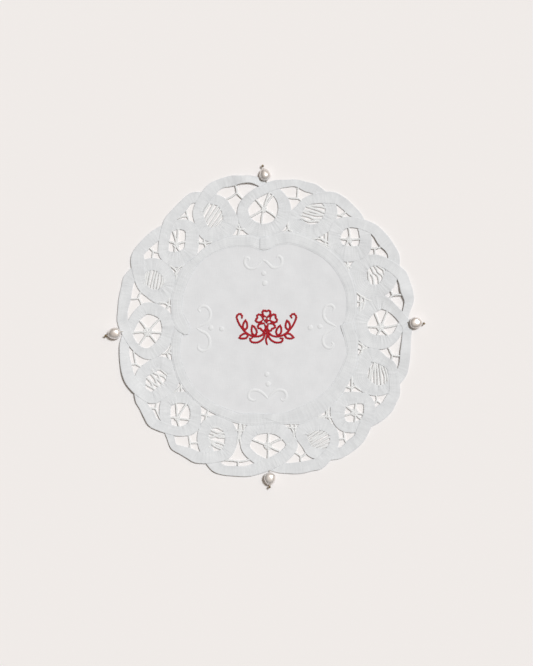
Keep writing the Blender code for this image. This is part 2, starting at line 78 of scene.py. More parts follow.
def editWhole(change):
    # an edit-mode change to the whole of the active mesh
    bpy.ops.object.mode_set(mode="EDIT")
    bpy.ops.mesh.select_all(action="SELECT")
    change()
    bpy.ops.object.mode_set(mode="OBJECT")


def mergeAndFaceOut():
    bpy.ops.mesh.remove_doubles(threshold=sameSpot)
    bpy.ops.mesh.normals_make_consistent(inside=False)


def shadeSmooth(degrees):
    bpy.ops.object.shade_smooth_by_angle(angle=math.radians(degrees))


def towards(bearing, length=1.0):
    turn = math.radians(bearing)
    return Vector((math.sin(turn), math.cos(turn))) * length


def bearingOf(x, y):
    return math.degrees(math.atan2(x, y)) % 360


def photoPlace(x, y):
    # where a pixel of the photo lies on the table
    middle = photo["middle"]
    return Vector(((x - middle[0]) * photo["pixel"], (middle[1] - y) * photo["pixel"]))


def drift(place, size, seed):
    # smooth unevenness from -1 to 1, with lumps about this many millimetres across
    return noise.noise(Vector((place[0] / size, place[1] / size, seed * 7.3)))


def ease(part):
    part = min(1.0, max(0.0, part))
    return part * part * (3 - 2 * part)


def bell(away):
    return math.exp(-away * away)


def mixed(first, second, part):
    return [a + (b - a) * part for a, b in zip(first, second)]


def flatDistance(first, second):
    return math.dist(first[:2], second[:2])


def blendFour(four, times, at):
    # the curve that passes through the two middle knots, by repeated blending
    row = four
    for spans in (((0, 1), (1, 2), (2, 3)), ((0, 2), (1, 3)), ((1, 2),)):
        row = [mixed(row[index], row[index + 1], (at - times[low]) / (times[high] - times[low]))
               for index, (low, high) in enumerate(spans)]
    return row[0]


def smoothLine(knots, step, closed=False):
    # an even line through the knots; what a knot holds after its place is carried along it
    if closed:
        padded = [knots[-1], *knots, *knots[:2]]
    else:
        padded = [mixed(knots[1], knots[0], 2), *knots, mixed(knots[-2], knots[-1], 2)]
    parts = 24
    dense = []
    for four in zip(padded, padded[1:], padded[2:], padded[3:]):
        times = [0.0]
        for first, second in zip(four, four[1:]):
            times.append(times[-1] + max(1e-4, flatDistance(first, second)) ** 0.5)
        dense += [blendFour(four, times, times[1] + (times[2] - times[1]) * part / parts)
                  for part in range(parts)]
    dense.append(padded[-2])
    lengths = [0.0]
    for first, second in zip(dense, dense[1:]):
        lengths.append(lengths[-1] + flatDistance(first, second))
    steps = max(2, round(lengths[-1] / step))
    line, index = [], 0
    for number in range(steps + 1):
        goal = lengths[-1] * number / steps
        while index < len(lengths) - 2 and lengths[index + 1] < goal:
            index += 1
        part = (goal - lengths[index]) / max(1e-9, lengths[index + 1] - lengths[index])
        line.append(mixed(dense[index], dense[index + 1], part))
    return line, lengths[-1]


def sideways(line, closed):
    # a unit step to the left of the line at each of its points
    sides = []
    last = len(line) - 1
    for index in range(len(line)):
        before = line[index - 1] if index else line[last - 1 if closed else 0]
        after = line[index + 1] if index < last else line[1 if closed else last]
        run = Vector((after[0] - before[0], after[1] - before[1])).normalized()
        sides.append(Vector((-run.y, run.x)))
    return sides


def finishCloth(piece, thick):
    if thick:
        solid = piece.modifiers.new("thickness", "SOLIDIFY")
        solid.thickness, solid.offset = thick * mm, -1
        bpy.ops.object.modifier_apply(modifier=solid.name)
    shadeSmooth(50)
    return piece


def layBand(name, line, across, heightOf, closed=False, thick=0.0):
    # a flat grid, one row of cells for each step of the line, laid along it like a ribbon
    columns, rows = len(across) - 1, len(line) - 1
    clearSelection()
    bpy.ops.mesh.primitive_grid_add(x_subdivisions=columns, y_subdivisions=rows, size=2)
    piece = nameNew(name)
    sides = sideways(line, closed)
    for vertex in piece.data.vertices:
        column = round((1 - vertex.co.x) / 2 * columns)
        row = round((vertex.co.y + 1) / 2 * rows)
        place = Vector(line[row][:2]) + sides[row] * across[column] * line[row][2]
        vertex.co = Vector((*place, heightOf(row, across[column], place))) * mm
    editWhole(mergeAndFaceOut)
    if sum(face.normal.z * face.area for face in piece.data.polygons) < 0:
        editWhole(bpy.ops.mesh.flip_normals)
    return finishCloth(piece, thick)


def joinPieces(pieces, name):
    pick(pieces[0])
    for piece in pieces:
        piece.select_set(True)
    bpy.ops.object.join()
    return nameNew(name)


def finishPiece(piece, material, slotName, *nodes):
    pick(piece)
    applyPlace()
    piece.data.materials.clear()
    piece.data.materials.append(material)
    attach(piece, "root")
    if nodes:
        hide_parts(*nodes)
    return piece


# ---- finishes

def addNode(tree, kind, **values):
    node = tree.nodes.new(kind)
    for key, value in values.items():
        if hasattr(node, key):
            setattr(node, key, value)
        else:
            node.inputs[key.replace("_", " ")].default_value = value
    return node


def newFinish(name, **values):
    # a new material with its tree, its shader and the coordinates that it reads
    material = bpy.data.materials.new(name)
    material.use_nodes = True
    tree = material.node_tree
    shader = tree.nodes["Principled BSDF"]
    for key, value in values.items():
        shader.inputs[key.replace("_", " ")].default_value = value
    return material, tree, shader, addNode(tree, "ShaderNodeTexCoord").outputs["Object"]


def link(tree, source, target):
    tree.links.new(source, target)


def calculate(tree, operation, first, *others):
    node = addNode(tree, "ShaderNodeMath", operation=operation)
    for socket, value in zip(node.inputs, (first, *others)):
        if isinstance(value, (int, float)):
            socket.default_value = value
        else:
            link(tree, value, socket)
    return node.outputs[0]


def scaled(tree, source, amounts):
    node = addNode(tree, "ShaderNodeMapping", Scale=amounts)
    link(tree, source, node.inputs["Vector"])
    return node.outputs[0]


def speckle(tree, vector, size, detail=2.0):
    node = addNode(tree, "ShaderNodeTexNoise", Scale=1 / (size * mm), Detail=detail)
    link(tree, vector, node.inputs["Vector"])
    return node.outputs["Fac"]


def colourRamp(tree, factor, target, *stops):
    node = addNode(tree, "ShaderNodeValToRGB")
    elements = node.color_ramp.elements
    for index, (place, colour) in enumerate(stops):
        stop = elements[index] if index < 2 else elements.new(place)
        stop.position, stop.color = place, (*colour, 1.0)
    link(tree, factor, node.inputs[0])
    link(tree, node.outputs[0], target)


def weave(tree, vector):
    # threads over and under each other, one unit of the vector to a thread
    split = addNode(tree, "ShaderNodeSeparateXYZ")
    link(tree, vector, split.inputs[0])
    waves = [calculate(tree, "SINE", calculate(tree, "MULTIPLY", axis, math.pi))
             for axis in split.outputs[:2]]
    over = calculate(tree, "MULTIPLY_ADD", calculate(tree, "MULTIPLY", *waves), 1.4, 0.5)
    mix = addNode(tree, "ShaderNodeMix")
    link(tree, over, mix.inputs["Factor"])
    for wave, side in zip(waves, "AB"):
        link(tree, calculate(tree, "ABSOLUTE", wave), mix.inputs[side])
    return mix.outputs["Result"]


def raiseBy(tree, shader, *layers):
    # bump layers one on another; each is a height socket and how deep it is in millimetres
    normal = None
    for height, depth in layers:
        bump = addNode(tree, "ShaderNodeBump", Strength=1.0, Distance=depth * mm)
        link(tree, height, bump.inputs["Height"])
        if normal:
            link(tree, normal, bump.inputs["Normal"])
        normal = bump.outputs[0]
    link(tree, normal, shader.inputs["Normal"])


clothSheen = {"Specular_IOR_Level": 0.15, "Sheen_Weight": 0.12, "Sheen_Roughness": 0.5}
linenFinish = {
    "light": (0.762, 0.775, 0.803),
    "dark": (0.702, 0.714, 0.742),
    "thread": 0.42,
    "weaveDepth": 0.035,
    "slub": 0.5,
    "slubDepth": 0.03,
    "clouds": 9.0,
}


def makeLinenFinish():
    material, tree, shader, place = newFinish("linenWeave", Roughness=0.9, **clothSheen)
    perThread = 1 / (linenFinish["thread"] * mm)
    threads = weave(tree, scaled(tree, place, (perThread, perThread, 0.0)))
    stretches = ((0.12, 1.6, 1.0), (1.6, 0.12, 1.0))
    slubs = calculate(tree, "ADD", *[
        speckle(tree, scaled(tree, place, stretch), linenFinish["slub"]) for stretch in stretches])
    clouds = speckle(tree, place, linenFinish["clouds"])
    cloudy = calculate(tree, "MULTIPLY_ADD", slubs, 0.35, clouds)
    colourRamp(tree, calculate(tree, "MULTIPLY", cloudy, 0.72), shader.inputs["Base Color"],
               (0.32, linenFinish["dark"]), (0.75, linenFinish["light"]))
    raiseBy(tree, shader, (slubs, linenFinish["slubDepth"]), (threads, linenFinish["weaveDepth"]))
    return material


tapeFinish = {
    "light": (0.772, 0.790, 0.815),
    "dark": (0.682, 0.699, 0.725),
    "warp": 0.46,
    "weft": 0.38,
    "weaveDepth": 0.045,
    "gather": 1.1,
    "gatherDepth": 0.10,
    "ridge": 0.7,
    "ridgeDepth": 0.06,
    "clouds": 6.0,
}


def makeTapeFinish(name, width, length):
    # a tape's own UV map runs once across it and once along it
    material, tree, shader, place = newFinish(name, Roughness=0.88, **clothSheen)
    along = addNode(tree, "ShaderNodeUVMap", uv_map="UVMap").outputs[0]
    threads = weave(tree, scaled(
        tree, along, (width / tapeFinish["warp"], length / tapeFinish["weft"], 0.0)))
    inMetres = scaled(tree, along, (width * mm, length * mm, 0.0))
    gathers = speckle(tree, scaled(tree, inMetres, (0.16, 1.0, 1.0)), tapeFinish["gather"], 1.0)
    ridges = speckle(tree, scaled(tree, inMetres, (1.0, 0.02, 1.0)), tapeFinish["ridge"], 0.0)
    clouds = speckle(tree, place, tapeFinish["clouds"])
    # painted shade: the tape's colour darkens in the gathers' hollows, where their bump sinks, and
    # also varies in random clouds
    gatherShadeAndClouds = calculate(tree, "MULTIPLY_ADD", gathers, 0.45, clouds)
    colourRamp(tree, calculate(tree, "MULTIPLY", gatherShadeAndClouds, 0.7), shader.inputs["Base Color"],
               (0.32, tapeFinish["dark"]), (0.72, tapeFinish["light"]))
    raiseBy(tree, shader, (gathers, tapeFinish["gatherDepth"]),
            (ridges, tapeFinish["ridgeDepth"]), (threads, tapeFinish["weaveDepth"]))
    return material


threadFinishes = {
    # light and dark colour, roughness and sheen
    "laceThread": ((0.84, 0.85, 0.86), (0.76, 0.77, 0.78), 0.75, 0.12),
    "satinThread": ((0.775, 0.790, 0.815), (0.72, 0.735, 0.755), 0.6, 0.15),
    "crimsonThread": ((0.49, 0.004, 0.018), (0.28, 0.002, 0.009), 0.6, 0.05),
    "beigeThread": ((0.74, 0.71, 0.66), (0.60, 0.56, 0.50), 0.7, 0.15),
}


def makeThreadFinish(name):
    light, dark, roughness, sheen = threadFinishes[name]
    material, tree, shader, place = newFinish(
        name, Roughness=roughness, Specular_IOR_Level=0.3, Sheen_Weight=sheen, Sheen_Roughness=0.4)
    fibres = speckle(tree, place, 0.22, 3.0)
    colourRamp(tree, fibres, shader.inputs["Base Color"], (0.3, dark), (0.7, light))
    raiseBy(tree, shader, (fibres, 0.02))
    return material


def makePearlFinish():
    material, tree, shader, place = newFinish(
        "pearlLustre", Roughness=0.32, Specular_IOR_Level=0.8, Metallic=0.5,
        Coat_Weight=0.7, Coat_Roughness=0.22)
    clouds = speckle(tree, place, 2.4, 2.0)
    colourRamp(tree, clouds, shader.inputs["Base Color"], (0.3, (0.70, 0.63, 0.59)),
               (0.5, (0.80, 0.75, 0.72)), (0.72, (0.87, 0.84, 0.83)))
    raiseBy(tree, shader, (clouds, 0.12), (speckle(tree, place, 0.5, 2.0), 0.015))
    return material


def makeStopperFinish():
    material, tree, shader, place = newFinish(
        "agedGiltBead", Roughness=0.38, Specular_IOR_Level=0.5, Metallic=0.9)
    wear = speckle(tree, place, 0.35, 3.0)
    colourRamp(tree, wear, shader.inputs["Base Color"],
               (0.35, (0.10, 0.065, 0.03)), (0.65, (0.36, 0.25, 0.12)))
    raiseBy(tree, shader, (wear, 0.03))
    return material


# ---- linen centre

innerBand = {
    # the four arcs of narrow tape: lift of the two ends, then bearing, inner and outer edge
    "arcs": [
        (0.38, -0.06, [
            (-3, 39.4, 45.1), (0, 39, 45.4), (2.7, 39.6, 45.7), (4.1, 40.3, 46), (6.9, 41.3, 47.1),
            (10.8, 42.4, 48.9), (15.2, 43.6, 49.8), (22.5, 44.4, 50.5), (34, 45.3, 51),
            (45, 46, 51.7), (56, 45.6, 51.6), (67.5, 44.8, 50), (76, 43.2, 48.3), (81, 41.9, 47.5),
            (85, 40.8, 45.9), (90, 39.3, 45.2), (92, 38.9, 45)]),
        (0.34, 0.06, [
            (88, 38.6, 45.3), (90.3, 39, 45.7), (94.6, 40.2, 46.6), (97.4, 41, 48),
            (101.3, 42.2, 48.5), (105, 43.5, 48.9), (112.5, 43.9, 50.6), (124, 44.6, 51.3),
            (135, 45.1, 52.5), (146, 44.7, 52.8), (157.5, 44.3, 52.8), (165, 44.8, 51.1),
            (170, 44.9, 50.2), (174, 44.5, 48.6), (178, 44.3, 47), (181.5, 44.5, 46.6)]),
        (-0.06, -0.06, [
            (173, 44.8, 49.6), (180, 44.3, 49.4), (186, 44.4, 50.3), (195, 45.5, 50.8),
            (202.5, 45.8, 50.7), (214, 46.5, 51.1), (225, 47.2, 51.5), (236, 46.6, 51.5),
            (247.5, 45.6, 50), (255, 44.4, 48.8), (262, 42.8, 47.5), (267, 41.3, 46),
            (271, 40.6, 45.4)]),
        (0.42, -0.06, [
            (264.3, 38.9, 40.9), (266.2, 38.1, 42), (269, 37.8, 43.9), (272, 38.8, 45.7),
            (276, 40.6, 47.4), (280, 42.3, 47.8), (287, 43.6, 49.3), (292.5, 44.3, 49.8),
            (304, 45.2, 51.4), (315, 46, 50.1), (326, 45.2, 50.1), (337.5, 43.7, 49.3),
            (347, 41.7, 47.5), (351, 41.1, 47), (353.5, 40.4, 46.1), (356.7, 38.9, 45.3),
            (359.3, 38.1, 44.3), (361, 37.9, 43.3)]),
    ],
    "top": 0.74,
    "thick": 0.25,
    "step": 0.5,
    "spare": 0.1,
    "crossFlat": 3,
    "crossFade": 4,
    "seam": 0.11,
    "edgeDrop": 0.06,
    "rib": 0.03,
    "ribsAcross": 1.75,
    "gather": 0.025,
    "gatherEvery": 1.7,
    "wave": 0.08,
    "across": [0, 0.2, 0.45, 0.65, 0.8, 0.85, 0.9, 0.95, 1],
}

linen = {
    "cells": 120,
    "top": 0.50,
    "pucker": 0.20,
    "puckerSize": 13.0,
    "folds": 27,
    "underTape": 0.55,
    "thick": 0.30,
}


def bandRadius(edge, bearing):
    # where the narrow tape's inner or outer edge lies, round both ends where they overlap
    column = ("inner", "outer").index(edge) + 1
    found = []
    for startLift, endLift, knots in innerBand["arcs"]:
        for turn in (bearing, bearing - 360):
            for first, second in zip(knots, knots[1:]):
                if first[0] <= turn <= second[0]:
                    part = (turn - first[0]) / (second[0] - first[0])
                    found.append(first[column] + (second[column] - first[column]) * part)
    return min(found) if edge == "inner" else max(found)


def linenTop(x, y):
    # height of the cloth's face, with slack puckers and small folds where the tape draws it in
    bearing, size = bearingOf(x, y), linen["puckerSize"]
    rim = max(0.0, math.hypot(x, y) / bandRadius("inner", bearing) - 0.72)
    folds = math.sin(math.radians(bearing) * linen["folds"]) * drift((x, y), 9.0, 8) * rim
    puckers = drift((x, y), size, 3) + 0.5 * drift((x, y), size / 2.6, 5)
    return linen["top"] + linen["pucker"] * (puckers * 0.6 + folds)


def makeLinenCentre(material):
    clearSelection()
    bpy.ops.mesh.primitive_grid_add(
        x_subdivisions=linen["cells"], y_subdivisions=linen["cells"], size=2)
    cloth = nameNew("linenCentre")
    share = linen["underTape"]
    for vertex in cloth.data.vertices:
        x = vertex.co.x * math.sqrt(1 - vertex.co.y ** 2 / 2)  # the square drawn in to a round
        y = vertex.co.y * math.sqrt(1 - vertex.co.x ** 2 / 2)
        turns = [(bearingOf(x, y) + shift) % 360 for shift in range(-6, 7, 2)]
        rim = sum(bandRadius("inner", turn) * (1 - share) + bandRadius("outer", turn) * share
                  for turn in turns) / len(turns)
        x, y = x * rim, y * rim
        vertex.co = Vector((x, y, linenTop(x, y))) * mm
    finishCloth(cloth, linen["thick"])
    return finishPiece(cloth, material, "linen", "linen_centre")


# ---- narrow tape round the linen

def makeInnerTape():
    across = [-part for part in innerBand["across"][:0:-1]] + innerBand["across"]
    arcs, total, step = [], 0.0, innerBand["step"]
    for startLift, endLift, edges in innerBand["arcs"]:
        line, length = smoothLine(
            [[*towards(bearing, (inner + outer) / 2), (outer - inner) / 2 + innerBand["spare"]]
             for bearing, inner, outer in edges], step)
        total += length
        last = len(line) - 1

        def heightOf(row, side, place, last=last, startLift=startLift, endLift=endLift):
            along, rim = row * step, abs(side)
            crossing = 0.0
            for lift, away in ((startLift, along), (endLift, (last - row) * step)):
                past = (away - innerBand["crossFlat"]) / innerBand["crossFade"]
                crossing += lift * (1 - ease(past))
            seam = (innerBand["seam"] * bell((rim - 0.88) / 0.05)
                    + innerBand["edgeDrop"] * max(0.0, rim - 0.95) / 0.05)
            ribs = innerBand["rib"] * math.cos(side * fullTurn * innerBand["ribsAcross"])
            beat = along * fullTurn / innerBand["gatherEvery"] + 4 * drift(place, 4.0, 1)
            gather = innerBand["gather"] * (1 + side) / 2 * math.sin(beat)
            return (innerBand["top"] + crossing - seam + ribs + gather
                    + innerBand["wave"] * drift(place, 8.0, 11))

        arcs.append(layBand("arc", line, across, heightOf, thick=innerBand["thick"]))
    tape = joinPieces(arcs, "innerTape")
    material = makeTapeFinish("narrowTapeWeave", 4.8, total / 4)
    return finishPiece(tape, material, "tape", "inner_tape")


# ---- scalloped and looped tape

laceTape = {
    # bearing and radius of each place where the tape crosses itself
    "junctions": [
        (0.2, 72.8), (24.3, 76), (43.1, 74), (65.6, 75.5), (85.8, 73), (113.7, 75.1), (133.3, 75),
        (153.8, 76.5), (179, 73.5), (203.6, 76.6), (223.4, 75.6), (242.9, 75.7), (267.9, 73.1),
        (293.8, 75), (314.4, 73.7), (334.6, 76.1),
    ],
    "junctionReach": 8.5,
    "loopRows": (60, 260),
    # x, y and width of the tape, at seven places round each loop and five along its scallop
    "motifs": [
        [(7.5, 66.6, 5.2), (10.3, 59.2, 6.8), (7.1, 51.5, 6.7), (-0.6, 48.4, 7.5),
         (-8.2, 51.4, 7.4), (-11, 59, 5.6), (-7.4, 65, 5.1), (5.4, 71.8, 4.8), (10.1, 72.4, 4),
         (15.9, 72.7, 3.7), (21.5, 70.8, 5), (25.9, 69.3, 5.2)],
        [(33.7, 60.4, 6), (32.7, 54.2, 6.8), (28.1, 49.3, 6.9), (21, 48.5, 7.7), (15, 53.7, 7.7),
         (18.3, 60.4, 4.2), (22, 63.8, 4.5), (33.6, 65.4, 6.1), (37.3, 64.4, 5.5), (41, 61.8, 5.5),
         (44.2, 58.7, 5.3), (47, 56.2, 4.6)],
        [(51.3, 44.2, 6.1), (49.8, 38.6, 6.8), (43.9, 36.8, 8.1), (37.5, 38.2, 8.1),
         (35.4, 44.5, 6.5), (37.5, 50.8, 7), (43.3, 52.9, 5.5), (54, 50.1, 5.4), (57.3, 47.5, 5.5),
         (60.5, 43.4, 6.5), (63.9, 39.3, 5.4), (65.6, 35.2, 6)],
        [(62.9, 22.7, 7.1), (59.3, 18.7, 6.5), (53.2, 17.9, 7.5), (48, 22, 9.2), (47.7, 28.9, 9.2),
         (52.7, 33.1, 6.5), (58.5, 33.3, 5.5), (69.1, 26.4, 6), (70.8, 22.8, 5.7), (72, 18.3, 6.2),
         (73.2, 13.8, 5.1), (72.6, 10.2, 4.1)],
        [(66.1, -5.1, 4.3), (59.7, -7.9, 7.2), (51.9, -6.1, 7.1), (48.3, 1.5, 7.9), (52, 8.8, 8.2),
         (59, 12.3, 7.6), (65.3, 8.8, 5.1), (72.1, 0.2, 5), (72, -5.7, 4.7), (71.4, -12.6, 5.2),
         (70.7, -19.4, 5.2), (69, -24.2, 5.8)],
        [(61.2, -31.7, 5.2), (54.8, -31.9, 6.2), (48.8, -27.4, 7.9), (49.1, -19.9, 8.3),
         (54.3, -14.4, 7.7), (60.5, -17.4, 5.3), (64.2, -20.3, 5.2), (65.8, -34, 5.8),
         (64.2, -37, 6.2), (62, -40.9, 6.8), (58.6, -43.9, 7.4), (55.9, -46.4, 6.2)],
        [(45.1, -51.1, 5.5), (39.5, -49.9, 5.6), (37, -43.9, 7.2), (39.1, -37.8, 7.5),
         (45.2, -36.2, 6.3), (51.8, -37.2, 5.5), (53.3, -43.3, 6.1), (49.6, -53.2, 6.3),
         (47.8, -56.8, 5.8), (44.1, -60.1, 6.1), (40.3, -63.1, 5.2), (36.8, -64.4, 5.8)],
        [(24.5, -63.8, 5.4), (21.2, -60.2, 4.4), (18.6, -54.3, 6.1), (23.4, -49.6, 7.9),
         (29.9, -49.6, 6.6), (34.8, -53.8, 5), (35.1, -59.9, 4.8), (28.1, -69, 6.1),
         (23.6, -70.4, 5.7), (17.7, -71.6, 5.9), (11.6, -71.8, 5.3), (6.6, -71.3, 5.3)],
        [(-4.8, -66.6, 4.7), (-9.7, -60.6, 4.8), (-6.4, -52.6, 7), (1.5, -50.6, 7.2),
         (8.7, -52.9, 6.5), (13.9, -59.9, 6), (8.9, -66.3, 6.2), (-4.5, -72.2, 6),
         (-9.1, -73.3, 5.3), (-14.9, -73.2, 5.1), (-20.6, -72.7, 4.9), (-24.7, -70.5, 6.1)],
        [(-30.5, -59.6, 6.5), (-31.1, -54.6, 5.7), (-27.5, -48.8, 6.4), (-20.4, -48.9, 6.4),
         (-16.9, -54.6, 6.7), (-17.3, -60.1, 6.4), (-20.4, -64.8, 5.9), (-34, -66.2, 5.9),
         (-37.3, -64.6, 5.7), (-41.5, -62.8, 4.4), (-45.9, -60.7, 3.3), (-47.3, -57.1, 3.6)],
        [(-50.4, -44.1, 5.7), (-49.4, -38.4, 5.8), (-43.4, -35.9, 5.8), (-36.7, -37.6, 6.3),
         (-34.8, -44.3, 5.7), (-36.6, -50.9, 6.5), (-42.7, -53.1, 5), (-53.7, -50, 5.2),
         (-56.6, -48.3, 5.4), (-58.8, -44.2, 5.6), (-61.2, -40.4, 4.7), (-62.7, -37, 5.4)],
        [(-62.2, -24.2, 5.8), (-58, -20.9, 6.5), (-52, -18.5, 6.7), (-46.2, -22.8, 6.8),
         (-47.6, -29.7, 7), (-51.9, -33.4, 7.2), (-57.5, -36, 6), (-66.9, -28.3, 6.1),
         (-69, -24.3, 5.8), (-70.3, -18.7, 5.6), (-71, -12.8, 4.8), (-70.6, -8.2, 5.2)],
        [(-65.7, 3.9, 5.1), (-59.6, 9.2, 6.1), (-51.1, 6, 6.2), (-48.7, -2.3, 6.5),
         (-51.9, -9.3, 6.5), (-58.5, -13.8, 6), (-65.3, -10.5, 4.2), (-71.7, 2.2, 5.6),
         (-71.8, 7.7, 5.1), (-70.8, 13.8, 6.1), (-69.7, 19.7, 5.9), (-68.3, 24.5, 6)],
        [(-58.6, 31.4, 6.3), (-53, 30.7, 6.4), (-49, 26.4, 6.4), (-47.7, 20.1, 7.6),
         (-52.6, 15.3, 7.9), (-58.6, 17.2, 5), (-62.1, 20.7, 5), (-64.3, 33.9, 7),
         (-63.7, 37.4, 5.7), (-60.9, 40.9, 5.7), (-57.6, 44.1, 5.8), (-54.6, 46.4, 6.1)],
        [(-44, 51.7, 5), (-37.5, 50, 6.4), (-36.7, 43.1, 7.1), (-38.3, 37.1, 7.3),
         (-44.2, 34, 8.2), (-50.6, 36.5, 5.7), (-51, 42.5, 5.4), (-48.1, 53.4, 5.5),
         (-45.7, 56.6, 5.2), (-42.2, 60, 5.6), (-39, 63.6, 4.8), (-36, 65.3, 5.5)],
        [(-22.5, 63.5, 5.5), (-19, 59.2, 5.9), (-17.3, 52.8, 8.4), (-21.8, 47.6, 8.3),
         (-29.2, 47.1, 6.9), (-32.6, 53, 5.6), (-33.7, 58.5, 5.2), (-26.6, 69.5, 6.3),
         (-22.4, 72.3, 5), (-16.5, 73.8, 5.4), (-10.5, 74.6, 3.8), (-5.2, 74.3, 3.9)],
    ],
    "loopKnots": 7,
    "step": 0.4,
    "across": [0, 0.3, 0.6, 0.85, 0.94, 1],
    "top": 0.60,
    "thick": 0.38,
    "pressed": 0.46,
    "crossLift": 0.10,
    "crossSink": 0.05,
    "crossRows": 24,
    "crossFlat": 3.8,
    "crossFade": 4.2,
    "spiderLift": 0.03,
    "gather": 0.17,
    "gatherSize": 0.8,
    "crease": 0.07,
    "hem": 0.05,
    "edgeDrop": 0.12,
    "picot": 0.03,
    "picotEvery": 1.55,
    "wave": 0.10,
    "smallWave": 0.05,
    "offTable": 0.03,
    # where the tape stands off the table: place in the photo, how far round it, how much
    "raised": [
        (246, 184, 6.5, 1.9), (402, 354, 8, 1), (401, 292, 7.5, 1.7), (380, 244, 9, 0.8),
        (403, 313, 5, 0.45), (117, 352, 6, 1.2), (121, 376, 6, 1.4), (130, 395, 6, 1.55),
        (116, 308, 8, 0.45), (140, 420, 7, 1.05), (156, 436, 6, 0.75), (174, 453, 7, 0.8),
        (194, 464, 7, 0.7), (212, 473, 7, 0.6), (238, 478, 8, 0.6), (293, 186, 5, 0.35),
        (350, 228, 6, 0.25), (130, 262, 8, 0.3), (240, 458, 6, 0.3), (304, 460, 6, 0.25),
        (292, 474, 8, 0.3), (326, 464, 7, 0.5), (376, 426, 7, 0.45),
    ],
}


def laceKnots():
    # place, half width, lift and gathering of the tape's middle line
    knots = []
    for number, motif in enumerate(laceTape["motifs"]):
        lift = laceTape["spiderLift"] * (-1) ** number
        for at, (x, y, width) in enumerate(motif):
            inLoop = at < laceTape["loopKnots"]
            knots.append([x, y, width / 2, lift if inLoop else 0.0, 1.0 if inLoop else 0.35])
    return knots


def findCrossings(line):
    # for each motif the rows where the tape comes in over itself and goes out again
    shortest, longest = laceTape["loopRows"]
    crossings = []
    for place in laceTape["junctions"]:
        junction = towards(*place)
        near = [row for row, point in enumerate(line[:-1])
                if flatDistance(point, junction) < laceTape["junctionReach"]]
        crossings.append(min(
            (flatDistance(line[first], line[second]), first, second)
            for first in near for second in near
            if shortest < (second - first) % (len(line) - 1) < longest)[1:])
    return crossings


def slackOf(place):
    # the cloth isn't pulled flat: soft waves, and places where it stands off the table
    height = (laceTape["wave"] * drift(place, 11.0, 4)
              + laceTape["smallWave"] * drift(place, 4.5, 6))
    for x, y, reach, amount in laceTape["raised"]:
        height += amount * bell((Vector(place[:2]) - photoPlace(x, y)).length / reach)
    return height


def makeLaceTape():
    step, gatherSize = laceTape["step"], laceTape["gatherSize"]
    line, length = smoothLine(laceKnots(), step, closed=True)
    rows = len(line) - 1
    lifts = [point[3] for point in line]
    for incoming, outgoing in findCrossings(line):
        for shift in range(-laceTape["crossRows"], laceTape["crossRows"] + 1):
            near = 1 - ease((abs(shift) * step - laceTape["crossFlat"]) / laceTape["crossFade"])
            lifts[(outgoing + shift) % rows] += laceTape["crossLift"] * near
            lifts[(incoming + shift) % rows] -= laceTape["crossSink"] * near
    lifts[rows] = lifts[0]
    across = [-part for part in laceTape["across"][:0:-1]] + laceTape["across"]

    def gathersAt(along, side):
        return noise.noise(Vector((along / gatherSize, side * 0.9, 4.4)))

    def heightOf(row, side, place):
        along, rim = row * step, abs(side)
        hem = (laceTape["hem"] * bell((rim - 0.90) / 0.06)
               - laceTape["edgeDrop"] * max(0.0, rim - 0.94) / 0.06)
        closing = ease((row - rows + 12) / 12)  # the gathers at one end run into the other's
        gathers = ((1 - closing) * gathersAt(along, side)
                   + closing * gathersAt(along - rows * step, side))
        strength = laceTape["gather"] * line[row][4] * (1 + 1.6 * drift(place, 4.0, 12))
        ruffle = strength * (0.35 + 0.65 * (1 - side) / 2) * gathers
        crease = laceTape["crease"] * max(0.0, 1 - 9 * abs(drift(place, 5.0, 15)))
        beat = math.sin(along * fullTurn / laceTape["picotEvery"])
        picots = laceTape["picot"] * max(0.0, side) ** 3 * beat
        height = laceTape["top"] + lifts[row] + hem + ruffle + crease + picots + slackOf(place)
        under = ease((bandRadius("outer", bearingOf(*place)) + 0.6 - place.length) / 0.7)
        height -= under * max(0.0, height - laceTape["pressed"])  # below the narrow tape
        return max(height, laceTape["thick"] + laceTape["offTable"])

    tape = layBand("laceTape", line, across, heightOf, closed=True, thick=laceTape["thick"])
    finishPiece(tape, makeTapeFinish("wideTapeWeave", 5.9, length), "tape", "lace_border")
    return tape, line


# ---- threads

cord = {
    "sides": 10,
    "plies": 0.17,
    "perTurn": 9,
    "step": 0.35,
    "probe": 0.1,
    "nearby": 14,
    "strandFade": 0.5,
    "throughFade": 0.6,
    "throughThin": 0.35,
}


def finerRun(run, step):
    fine = [run[0]]
    for first, second in zip(run, run[1:]):
        parts = max(1, math.ceil(math.dist(first[:3], second[:3]) / step))
        fine += [mixed(first, second, part / parts) for part in range(1, parts + 1)]
    return fine


